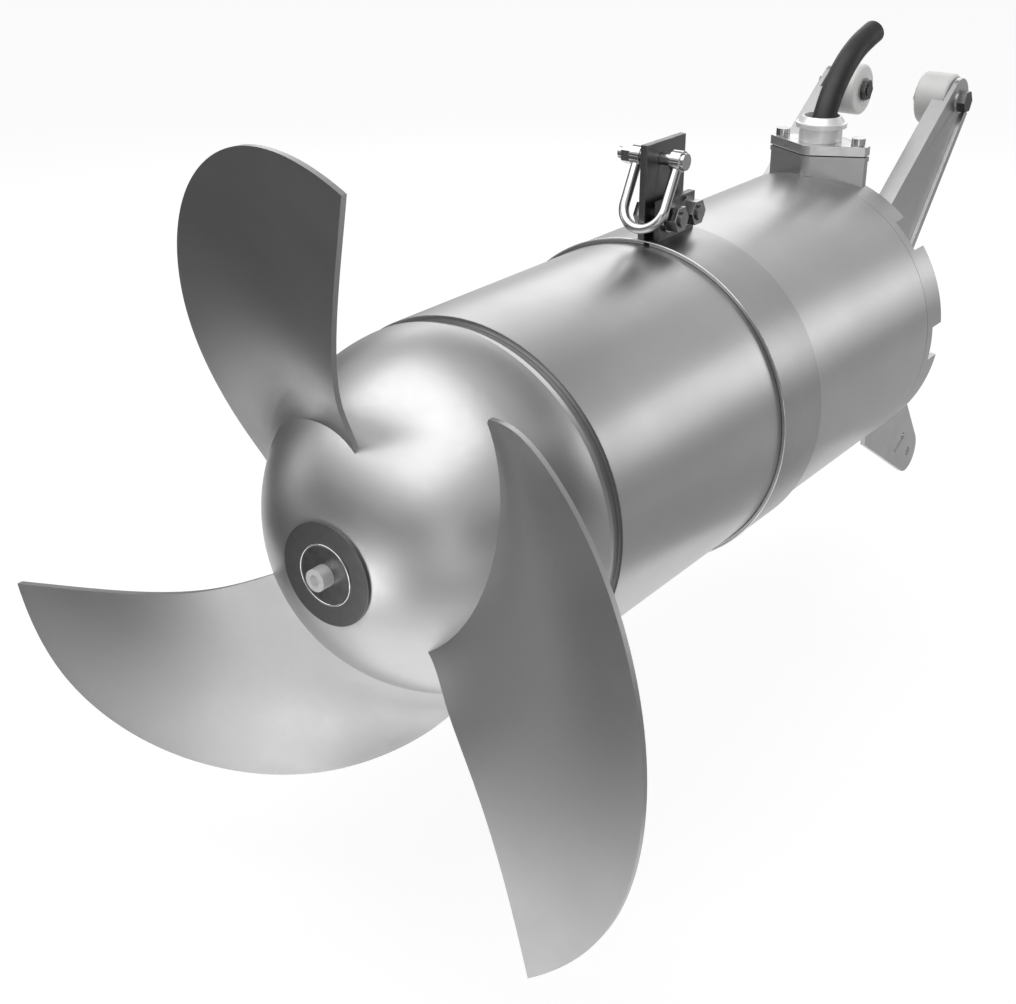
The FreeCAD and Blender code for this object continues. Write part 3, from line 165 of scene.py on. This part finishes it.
# what all brushed steels share, and all plain surfaces; every depth further on is in metres
brushing = {
    "lineShade": 0.22,
    "lineStrength": 0.3,
    "grainScale": 420.0,
    "grainStrength": 0.25,
}
mottling = {
    "spread": 0.06,
    "grainStrength": 0.5,
}


def brushedSteel(name, light, dark, roughness, spread, lineScale, lineDepth, lines=(1, 1, 1),
                 patchScale=7.0, grainDepth=0.000004, metallic=1.0):
    # fine brush lines, faint cloudy patches and rubbed spots; lines stretches the pattern,
    # and where it is None the lines are turned rings
    material, tree, shader = surfaceMaterial(name, metallic)
    points = turnedPoints(tree) if lines is None else objectPoints(tree, lines)
    brush = addNoise(tree, points, lineScale, 2.0, 0.6)
    patches = addNoise(tree, objectPoints(tree), patchScale, 4.0, 0.6)
    specks = addNoise(tree, objectPoints(tree), brushing["grainScale"], 1.0, 0.5)
    tone = addMix(tree, addRange(tree, patches, 0.0, 1.0), grey(dark), grey(light))
    tone = addMix(tree, addRange(tree, brush, 0.0, brushing["lineShade"]), tone, grey(dark))
    rub = addSum(tree, addRange(tree, patches, roughness + spread, roughness - spread),
                 addRange(tree, brush, -spread / 2, spread / 2))
    grain = addBump(tree, specks, grainDepth, brushing["grainStrength"])
    relief = addBump(tree, brush, lineDepth, brushing["lineStrength"], grain)
    tree.links.new(tone, shader.inputs["Base Color"])
    tree.links.new(rub, shader.inputs["Roughness"])
    tree.links.new(relief, shader.inputs["Normal"])
    return material


def plainSurface(name, light, dark, roughness, grainScale, grainDepth, metallic=0.0, patchScale=30.0):
    # rubber, plastic or bare cast metal: a mottled colour and a fine grain
    material, tree, shader = surfaceMaterial(name, metallic)
    points = objectPoints(tree)
    patches = addNoise(tree, points, patchScale, 4.0, 0.6)
    grain = addNoise(tree, points, grainScale, 2.0, 0.5)
    tone = addMix(tree, addRange(tree, patches, 0.0, 1.0), dark, light)
    rub = addRange(tree, patches, roughness + mottling["spread"], roughness - mottling["spread"])
    relief = addBump(tree, grain, grainDepth, mottling["grainStrength"])
    tree.links.new(tone, shader.inputs["Base Color"])
    tree.links.new(rub, shader.inputs["Roughness"])
    tree.links.new(relief, shader.inputs["Normal"])
    return material


# stretches that lay the brush lines round the mixer's axis, or along a plate
roundTheAxis = (0.03, 1.0, 0.03)

steels = {
    "casingSteel": {"light": 0.50, "dark": 0.45, "roughness": 0.34, "spread": 0.02,
                    "lines": roundTheAxis, "lineScale": 500.0, "lineDepth": 0.00001},
    # painted shade: a darker copy of the casing steel for the seal housing's lip in the groove between
    # hub and casing
    "shadedLipSteel": {"light": 0.36, "dark": 0.28, "roughness": 0.36, "spread": 0.03,
                 "lines": roundTheAxis, "lineScale": 500.0, "lineDepth": 0.00001},
    "bandSteel": {"light": 0.42, "dark": 0.36, "roughness": 0.36, "spread": 0.03,
                  "lines": roundTheAxis, "lineScale": 500.0, "lineDepth": 0.00001},
    "coverSteel": {"light": 0.50, "dark": 0.44, "roughness": 0.34, "spread": 0.03,
                   "lineScale": 160.0, "lineDepth": 0.00001},
    "entrySteel": {"light": 0.68, "dark": 0.60, "roughness": 0.30, "spread": 0.03,
                   "lineScale": 200.0, "lineDepth": 0.00001, "patchScale": 40.0},
    "domeSteel": {"light": 0.50, "dark": 0.46, "roughness": 0.38, "spread": 0.03,
                  "lineScale": 140.0, "lineDepth": 0.000006, "patchScale": 4.0},
    "bladeSteel": {"light": 0.46, "dark": 0.41, "roughness": 0.36, "spread": 0.03,
                   "lineScale": 260.0, "lineDepth": 0.000008, "patchScale": 9.0},
    "bracketSteel": {"light": 0.53, "dark": 0.45, "roughness": 0.32, "spread": 0.05,
                     "lines": (1, 1, 0.2), "lineScale": 240.0, "lineDepth": 0.00002,
                     "patchScale": 18.0},
    "plateSteel": {"light": 0.19, "dark": 0.13, "roughness": 0.36, "spread": 0.05,
                   "lines": (1, 1, 0.3), "lineScale": 240.0, "lineDepth": 0.00002,
                   "patchScale": 40.0},
    "brightSteel": {"light": 0.66, "dark": 0.50, "roughness": 0.15, "spread": 0.04,
                    "lineScale": 200.0, "lineDepth": 0.000004, "patchScale": 60.0,
                    "grainDepth": 0.000001},
    "clampSteel": {"light": 0.34, "dark": 0.22, "roughness": 0.18, "spread": 0.05,
                   "lineScale": 200.0, "lineDepth": 0.000006, "patchScale": 60.0,
                   "grainDepth": 0.000001},
    "darkBolt": {"light": 0.13, "dark": 0.08, "roughness": 0.26, "spread": 0.05,
                 "lineScale": 200.0, "lineDepth": 0.000006, "patchScale": 60.0,
                 "grainDepth": 0.000001},
    # painted highlight: turned steel painted near white, so the gland and hub screw carry their bright
    # highlights in their colour
    "highlightTurnedMetal": {"light": 0.94, "dark": 0.80, "roughness": 0.38, "spread": 0.04,
                    "lines": (0.05, 0.05, 1), "lineScale": 900.0, "lineDepth": 0.000008,
                    "patchScale": 30.0, "grainDepth": 0.000001, "metallic": 0.55},
    "darkRing": {"light": 0.21, "dark": 0.13, "roughness": 0.38, "spread": 0.05,
                 "lines": None, "lineScale": 700.0, "lineDepth": 0.00001, "patchScale": 30.0},
    # painted shade: the hub screw's washer is painted dark for the recess it sits in at the propeller's
    # nose
    "shadedRecessSteel": {"light": 0.26, "dark": 0.10, "roughness": 0.32, "spread": 0.05,
                    "lines": None, "lineScale": 900.0, "lineDepth": 0.00002, "patchScale": 60.0},
}

plainSurfaces = {
    "machinedIron": {"light": (0.30, 0.30, 0.31), "dark": (0.22, 0.22, 0.23), "roughness": 0.45,
                     "grainScale": 500.0, "grainDepth": 0.00002, "metallic": 1.0},
    "laminatedSheet": {"light": (0.24, 0.24, 0.26), "dark": (0.17, 0.17, 0.19), "roughness": 0.5,
                       "grainScale": 300.0, "grainDepth": 0.00002, "metallic": 1.0},
    "copperWire": {"light": (0.52, 0.22, 0.09), "dark": (0.36, 0.13, 0.05), "roughness": 0.35,
                   "grainScale": 160.0, "grainDepth": 0.0002},
    "castAluminium": {"light": (0.62, 0.62, 0.63), "dark": (0.5, 0.5, 0.51), "roughness": 0.45,
                      "grainScale": 260.0, "grainDepth": 0.00004, "metallic": 1.0},
    "groundSteel": {"light": (0.68, 0.68, 0.70), "dark": (0.6, 0.6, 0.62), "roughness": 0.2,
                    "grainScale": 400.0, "grainDepth": 0.00001, "metallic": 1.0},
    "sealCarbide": {"light": (0.06, 0.06, 0.065), "dark": (0.04, 0.04, 0.045), "roughness": 0.3,
                    "grainScale": 300.0, "grainDepth": 0.00001},
    "blackRubber": {"light": (0.026, 0.026, 0.027), "dark": (0.018, 0.018, 0.019), "roughness": 0.6,
                    "grainScale": 700.0, "grainDepth": 0.00006},
    "cableRubber": {"light": (0.022, 0.022, 0.0225), "dark": (0.012, 0.012, 0.0125), "roughness": 0.5,
                    "grainScale": 520.0, "grainDepth": 0.00012, "patchScale": 40.0},
    "rollerPlastic": {"light": (0.84, 0.84, 0.83), "dark": (0.76, 0.76, 0.75), "roughness": 0.45,
                      "grainScale": 350.0, "grainDepth": 0.00004, "patchScale": 25.0},
    "terminalPlastic": {"light": (0.62, 0.58, 0.46), "dark": (0.55, 0.5, 0.4), "roughness": 0.4,
                        "grainScale": 300.0, "grainDepth": 0.00003},
}

finishes = {}
for name, facts in steels.items():
    finishes[name] = brushedSteel(name, **facts)
for name, facts in plainSurfaces.items():
    finishes[name] = plainSurface(name, **facts)
print("finishes made:", len(finishes))

nodesOfFinish = {
    "domeSteel": ["propeller_hub"],
    "bladeSteel": ["propeller_blade_1", "propeller_blade_2", "propeller_blade_3"],
    "darkRing": ["nose_ring"],
    "casingSteel": ["motor_casing"],
    "shadedLipSteel": ["seal_housing"],
    "coverSteel": ["rear_cover"],
    "entrySteel": ["cable_entry_cover"],
    "bandSteel": ["lifting_band"],
    "plateSteel": ["lifting_plate", "band_ear"],
    "bracketSteel": ["guide_bracket_left", "guide_bracket_right", "guide_bracket_plate"],
    "brightSteel": ["rear_cover_screws", "cable_entry_screws", "shackle_bow", "shackle_pin",
                    "shackle_nut", "guide_bracket_bolts", "roller_washers", "retainer_screws"],
    "clampSteel": ["clamp_bolts", "clamp_nuts", "clamp_washers"],
    "shadedRecessSteel": ["hub_screw_washer"],
    "darkBolt": ["roller_bolts", "roller_nuts"],
    "highlightTurnedMetal": ["gland_body", "gland_nut", "hub_screw"],
    "machinedIron": ["shaft", "bearing_housing", "bearing_retainer", "shaft_lock_nut",
                     "rear_bearing_shield"],
    "laminatedSheet": ["stator_core", "rotor_core"],
    "copperWire": ["stator_windings"],
    "castAluminium": ["rotor_end_rings"],
    "groundSteel": ["hub_key", "front_bearing_cups", "front_bearing_cones", "front_bearing_rollers",
                    "front_bearing_cages", "rear_bearing_outer_ring", "rear_bearing_inner_ring",
                    "rear_bearing_rollers"],
    "sealCarbide": ["seal_seats", "seal_rings"],
    "blackRubber": ["seal_bellows", "cover_o_ring", "cable_entry_gasket", "cable_seal_sleeve"],
    "cableRubber": ["cable_tail", "power_cable"],
    "rollerPlastic": ["guide_roller_left", "guide_roller_right"],
    "terminalPlastic": ["terminal_block"],
}

# radius of the broken edges that catch the light, in metres
softEdges = {
    "motor_casing": 0.0006,
    "seal_housing": 0.0006,
    "rear_cover": 0.0006,
    "lifting_band": 0.001,
    "lifting_plate": 0.0006,
    "band_ear": 0.0006,
    "cable_entry_cover": 0.0007,
    "gland_body": 0.0005,
    "gland_nut": 0.0005,
    "guide_bracket_left": 0.0004,
    "guide_bracket_right": 0.0004,
    "guide_roller_left": 0.0008,
    "guide_roller_right": 0.0008,
    "propeller_blade_1": 0.0007,
    "propeller_blade_2": 0.0007,
    "propeller_blade_3": 0.0007,
    "hub_screw": 0.0003,
    "hub_screw_washer": 0.0003,
    "nose_ring": 0.0004,
    "clamp_bolts": 0.0003,
    "clamp_nuts": 0.0003,
    "shackle_pin": 0.0004,
    "shackle_nut": 0.0003,
    "shackle_bow": 0.0005,
    "roller_bolts": 0.0003,
    "roller_nuts": 0.0003,
    "cable_entry_screws": 0.0003,
}

edgeWork = {
    "mergeWithin": 0.000002,
    "softenAbove": math.radians(40),
    "splitAbove": math.radians(28),
    "softSegments": 2,
    "largeFaceWeight": 100,
}


def finishNode(name, material):
    # merge the loose triangles in a modifier, then shade round faces smooth and keep real edges
    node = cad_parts[name]
    node.data.materials.clear()
    node.data.materials.append(material)
    for face in node.data.polygons:
        face.use_smooth = True
    weld = node.modifiers.new("weld", "WELD")
    weld.merge_threshold = edgeWork["mergeWithin"]
    if name in softEdges:
        bevel = node.modifiers.new("softEdge", "BEVEL")
        bevel.width = softEdges[name]
        bevel.segments = edgeWork["softSegments"]
        bevel.limit_method = "ANGLE"
        bevel.angle_limit = edgeWork["softenAbove"]
        bevel.use_clamp_overlap = True
    split = node.modifiers.new("edges", "EDGE_SPLIT")
    split.split_angle = edgeWork["splitAbove"]
    if name in softEdges:  # large faces keep their own shading beside the narrow bevels
        even = node.modifiers.new("evenShading", "WEIGHTED_NORMAL")
        even.mode = "FACE_AREA"
        even.weight = edgeWork["largeFaceWeight"]


for finish, names in nodesOfFinish.items():
    for name in names:
        finishNode(name, finishes[finish])
print("nodes finished:", sum(len(names) for names in nodesOfFinish.values()))


# helpers for new pieces

def newPiece(name, data, material):
    piece = bpy.data.objects.new(name, data)
    bpy.context.scene.collection.objects.link(piece)
    data.materials.append(material)
    return piece


def meshPiece(name, shape, material):
    mesh = bpy.data.meshes.new(name)
    shape.to_mesh(mesh)
    shape.free()
    return newPiece(name, mesh, material)


# power cable: the same points as in the part, in metres
cable = {
    "gland": (0.0, -0.087, 0.0),
    "route": [(0.0, -0.0040, 0.1638), (0.0, 0.0040, 0.1857), (-0.0001, 0.0160, 0.2058),
              (0.0001, 0.0318, 0.2236), (0.0006, 0.0508, 0.2381), (0.0016, 0.0721, 0.2488),
              (0.0028, 0.0936, 0.2551)],
    "radius": 0.011,
    "length": 0.1385,
    "stepsAlong": 16,
    "stepsAround": 10,
}


def cablePoint(place):
    return Vector(place) + Vector(cable["gland"])


def makeCable():
    curve = bpy.data.curves.new("powerCable", "CURVE")
    curve.dimensions = "3D"
    curve.resolution_u = cable["stepsAlong"]
    curve.bevel_depth = cable["radius"]
    curve.bevel_resolution = cable["stepsAround"]
    curve.use_fill_caps = True
    spline = curve.splines.new("NURBS")
    spline.points.add(len(cable["route"]) - 1)
    for point, place in zip(spline.points, cable["route"]):
        point.co = (*cablePoint(place), 1)
    spline.order_u = 3
    spline.use_endpoint_u = True
    piece = newPiece("powerCable", curve, finishes["cableRubber"])
    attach(piece, "housing")
    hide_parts("power_cable")
    return piece


# ends of the cable's cores, showing in its cut face
cores = {
    "count": 4,
    "radius": 0.0032,
    "circle": 0.0046,
    "reach": 0.0015,
    "turn": 0.4,
    "tipTaper": 0.94,
    "sides": 20,
}


def makeCores():
    tip = cablePoint(cable["route"][-1])
    along = (tip - cablePoint(cable["route"][-2])).normalized()
    turn = along.to_track_quat("Z", "Y").to_matrix().to_4x4()
    shape = bmesh.new()
    for index in range(cores["count"]):
        angle = 2 * math.pi * index / cores["count"] + cores["turn"]
        sideways = Matrix.Translation((cores["circle"] * math.cos(angle),
                                       cores["circle"] * math.sin(angle), 0))
        bmesh.ops.create_cone(shape, cap_ends=True, segments=cores["sides"], radius1=cores["radius"],
                              radius2=cores["radius"] * cores["tipTaper"], depth=2 * cores["reach"],
                              matrix=Matrix.Translation(tip) @ turn @ sideways)
    piece = meshPiece("cableCores", shape, finishes["terminalPlastic"])
    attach(piece, "housing")
    return piece


powerCable = makeCable()
cableCores = makeCores()
print("cable made")


# thin beads at the front of a node, round the mixer's axis, along the edge there; their bright steel,
# lighter than the node's own, is a painted highlight on that edge
recessRimHighlight = {
    "node": "hub_screw_washer",
    "body": "propeller",
    "slot": "bolts",
    "radius": 0.0219,
    "thickness": 0.0007,
}
bandHemHighlight = {
    "node": "lifting_band",
    "body": "housing",
    "slot": "stainless",
    "radius": 0.1406,
    "thickness": 0.0008,
}
beadSides = 12
beadSteps = 144


def makeBead(name, bead):
    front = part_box(bead["node"])[0][1]
    shape = bmesh.new()
    bmesh.ops.create_circle(shape, segments=beadSides, radius=bead["thickness"],
                            matrix=Matrix.Translation((bead["radius"], front, 0)))
    bmesh.ops.spin(shape, geom=shape.verts[:] + shape.edges[:], cent=(0, front, 0), axis=(0, 1, 0),
                   angle=2 * math.pi, steps=beadSteps, use_merge=True)
    bmesh.ops.recalc_face_normals(shape, faces=shape.faces[:])
    for face in shape.faces:
        face.smooth = True
    # the bright steel here is a painted highlight along the node's edge
    piece = meshPiece(name, shape, finishes["brightSteel"])
    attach(piece, bead["body"])


makeBead("recessRimHighlight", recessRimHighlight)
makeBead("bandHemHighlight", bandHemHighlight)
print("beads made")


# world, floor and the tent round the object; levels of 1 are white
studio = {
    "worldLight": 0.45,
    "backdropLevel": 1.0,
    "floorLevel": -0.3085,
    "floorSize": 14.0,
    "floorGrey": 0.8,
    "seenFloorGrey": 0.25,
    "seenFloorGlow": 0.84,
    "tentRadius": 5.0,
    "tentGlow": 1.65,
    "tentFoot": -0.6,
    "tentSidesAround": 48,
    "tentSidesUp": 24,
    # height from foot to top as a share, and the level there
    "tentLevels": [(0.0, 0.15), (0.11, 0.17), (0.23, 0.22), (0.34, 0.31), (0.48, 0.40), (0.62, 0.40),
                   (0.76, 0.30), (1.0, 0.36)],
}

# lamps light what is matt: place, aim, size and power
lamps = {
    "topSoftbox": ((0.05, -0.55, 2.1), (0, -0.45, 0), (2.0, 2.0), 17.0),
    "rearRightStrip": ((1.65, 1.75, 0.55), (0, -0.35, 0.0), (1.5, 0.42), 7.0),
    "rearLeftStrip": ((-1.35, 1.4, 0.85), (0, -0.35, 0.05), (1.3, 0.42), 6.0),
    "frontFill": ((-1.6, -2.4, 1.3), (0, -0.6, 0.0), (1.2, 1.2), 6.0),
}

# cards mirror in the metal: azimuth and elevation of the middle, width and height, all in
# degrees, and level; azimuth 0 is the front of the mixer and 90 its right side
cards = {
    "overheadCard": (-20, 60, 80, 56, 2.3),
    "rightStripCard": (143, 9, 26, 11, 1.9),
    "rightCornerCard": (137, 20, 16, 13, 2.3),
    "leftStripCard": (-150, 24, 58, 18, 2.1),
    "leftHighCard": (-160, 40, 40, 14, 1.5),
    "rearCard": (178, 33, 42, 14, 0.85),
    "rearDarkCard": (178, 58, 70, 16, 0.1),
    "darkSideCard": (104, 14, 46, 50, 0.1),
    "leftSideCard": (-60, 9, 14, 11, 1.3),
    "darkLeftCard": (-92, 8, 44, 26, 0.1),
    "lowFrontCard": (8, 6, 30, 12, 0.12),
    "towerCard": (31, 6, 10, 16, 1.4),
    "lowSideCard": (49, 8, 24, 16, 0.1),
    "lowFrontCardLeft": (-28, 9, 36, 16, 0.1),
}
cardDistance = 3.2

# sheets that lie on the floor and mirror too: from and to azimuth, inner and outer radius, level
floorSheets = {
    "nearLeftFlag": (-60, -10, 1.0, 1.25, 0.05),
    "leftFlag": (-130, -16, 1.25, 4.6, 0.1),
    "nearSweep": (-8, 12, 0.66, 0.99, 1.5),
    "brightSweep": (-12, 2, 1.26, 1.9, 3.4),
    "glandSweep": (-3, 7, 2.0, 3.2, 2.0),
    "frontRightFlag": (7, 50, 1.2, 4.6, 0.42),
    "towerSweep": (22, 40, 1.95, 2.7, 1.8),
    "rightFlag": (45, 110, 0.16, 4.6, 0.42),
    "rearRightFlag": (110, 178, 0.2, 1.5, 0.56),
    "farRightFlag": (110, 178, 1.5, 4.6, 0.34),
}
sheetSteps = 24
lowestSheet = 0.003
sheetSpacing = 0.001


def higherOf(tree, first, second):
    node = tree.nodes.new("ShaderNodeMath")
    node.operation = "MAXIMUM"
    tree.links.new(first, node.inputs[0])
    tree.links.new(second, node.inputs[1])
    return node.outputs[0]


def seenDirectly(tree):
    # one where the camera, a reflection or glass looks at it, else zero
    path = tree.nodes.new("ShaderNodeLightPath")
    direct = higherOf(tree, path.outputs["Is Camera Ray"], path.outputs["Is Glossy Ray"])
    return higherOf(tree, direct, path.outputs["Is Transmission Ray"])


def addSwitch(tree, output, unseen, seen):
    # one shader for the light it gives, another for how it looks
    mix = tree.nodes.new("ShaderNodeMixShader")
    tree.links.new(seenDirectly(tree), mix.inputs["Fac"])
    tree.links.new(unseen, mix.inputs[1])
    tree.links.new(seen, mix.inputs[2])
    tree.links.new(mix.outputs[0], output.inputs["Surface"])


def addShader(tree, kind, socket, value):
    shader = tree.nodes.new(kind)
    shader.inputs[socket].default_value = value
    return shader.outputs[0]


def makeWorld():
    world = bpy.data.worlds.new("studioWorld")
    bpy.context.scene.world = world
    world.use_nodes = True
    tree = world.node_tree
    tree.nodes.clear()
    output = tree.nodes.new("ShaderNodeOutputWorld")
    backgrounds = []
    for level in (studio["worldLight"], studio["backdropLevel"]):
        background = tree.nodes.new("ShaderNodeBackground")
        background.inputs["Color"].default_value = (*grey(1), 1)
        background.inputs["Strength"].default_value = level
        backgrounds.append(background.outputs[0])
    addSwitch(tree, output, *backgrounds)


def makeFloor():
    # the floor that is seen takes a faint shadow over its own glow
    shape = bmesh.new()
    bmesh.ops.create_grid(shape, x_segments=1, y_segments=1, size=studio["floorSize"] / 2,
                          matrix=Matrix.Translation((0, 0, studio["floorLevel"])))
    material, tree, output = emptyMaterial("paleFloor")
    plain = addShader(tree, "ShaderNodeBsdfDiffuse", "Color", (*grey(studio["floorGrey"]), 1))
    thin = addShader(tree, "ShaderNodeBsdfDiffuse", "Color", (*grey(studio["seenFloorGrey"]), 1))
    glow = addShader(tree, "ShaderNodeEmission", "Strength", studio["seenFloorGlow"])
    lifted = tree.nodes.new("ShaderNodeAddShader")
    tree.links.new(thin, lifted.inputs[0])
    tree.links.new(glow, lifted.inputs[1])
    addSwitch(tree, output, plain, lifted.outputs[0])
    meshPiece("studioFloor", shape, material)


def onlyInReflections(piece):
    piece.visible_camera = False
    piece.visible_diffuse = False
    piece.visible_shadow = False


def tentMaterial():
    material, tree, output = emptyMaterial("greyTent")
    coordinates = tree.nodes.new("ShaderNodeTexCoord")
    split = tree.nodes.new("ShaderNodeSeparateXYZ")
    height = tree.nodes.new("ShaderNodeMapRange")
    height.inputs["From Min"].default_value = studio["tentFoot"]
    height.inputs["From Max"].default_value = studio["tentRadius"]
    ramp = tree.nodes.new("ShaderNodeValToRGB")
    stops = ramp.color_ramp.elements
    for _ in range(len(studio["tentLevels"]) - 2):  # a ramp starts with two stops
        stops.new(0.5)
    for stop, (share, level) in zip(stops, studio["tentLevels"]):
        stop.position = share
        stop.color = (*grey(level), 1)
    glow = tree.nodes.new("ShaderNodeEmission")
    glow.inputs["Strength"].default_value = studio["tentGlow"]
    tree.links.new(coordinates.outputs["Object"], split.inputs[0])
    tree.links.new(split.outputs["Z"], height.inputs["Value"])
    tree.links.new(height.outputs["Result"], ramp.inputs["Fac"])
    tree.links.new(ramp.outputs["Color"], glow.inputs["Color"])
    tree.links.new(glow.outputs[0], output.inputs["Surface"])
    return material


def makeTent():
    # a tent that only the metal sees: dark near the horizon, bright overhead
    shape = bmesh.new()
    bmesh.ops.create_uvsphere(shape, u_segments=studio["tentSidesAround"],
                              v_segments=studio["tentSidesUp"], radius=studio["tentRadius"])
    under = [vert for vert in shape.verts if vert.co.z < studio["floorLevel"] * 2]
    bmesh.ops.delete(shape, geom=under, context="VERTS")
    onlyInReflections(meshPiece("greyTent", shape, tentMaterial()))


def glowMaterial(name, level):
    material, tree, output = emptyMaterial(name)
    glow = addShader(tree, "ShaderNodeEmission", "Strength", level)
    tree.links.new(glow, output.inputs["Surface"])
    return material


def towards(azimuth, elevation):
    return Vector((math.sin(azimuth) * math.cos(elevation), -math.cos(azimuth) * math.cos(elevation),
                   math.sin(elevation)))


def makeCard(name, azimuth, elevation, width, height, level):
    # a flat card square to its own direction
    middle = towards(math.radians(azimuth), math.radians(elevation))
    side = Vector((0, 0, 1)).cross(middle).normalized()
    rise = middle.cross(side)
    place = Matrix((side * math.tan(math.radians(width / 2)), rise * math.tan(math.radians(height / 2)),
                    middle)).transposed().to_4x4()
    place.translation = middle
    shape = bmesh.new()
    bmesh.ops.create_grid(shape, x_segments=1, y_segments=1, size=1,
                          matrix=Matrix.Scale(cardDistance, 4) @ place)
    onlyInReflections(meshPiece(name, shape, glowMaterial(name, level)))


def makeFloorSheet(name, lift, first, last, inner, outer, level):
    # one edge from the inner to the outer radius, swept round from first to last
    start = towards(math.radians(first), 0)
    rise = Vector((0, 0, studio["floorLevel"] + lift))
    shape = bmesh.new()
    shape.edges.new([shape.verts.new(start * reach + rise) for reach in (inner, outer)])
    bmesh.ops.spin(shape, geom=shape.verts[:] + shape.edges[:], cent=(0, 0, 0), axis=(0, 0, 1),
                   angle=math.radians(last - first), steps=sheetSteps, use_merge=False)
    onlyInReflections(meshPiece(name, shape, glowMaterial(name, level)))


def addLamps():
    for name, (place, aim, size, power) in lamps.items():
        data = bpy.data.lights.new(name, "AREA")
        data.shape = "RECTANGLE"
        data.size, data.size_y = size
        data.energy = power
        lamp = bpy.data.objects.new(name, data)
        bpy.context.scene.collection.objects.link(lamp)
        lamp.location = place
        lamp.rotation_euler = (Vector(aim) - Vector(place)).to_track_quat("-Z", "Y").to_euler()
        lamp.visible_camera = False
        lamp.visible_glossy = False


makeWorld()
makeFloor()
makeTent()
for name, facts in cards.items():
    makeCard(name, *facts)
for order, (name, facts) in enumerate(floorSheets.items()):
    makeFloorSheet(name, lowestSheet + sheetSpacing * order, *facts)
addLamps()
bpy.context.scene.view_settings.view_transform = "Standard"
print("studio ready")
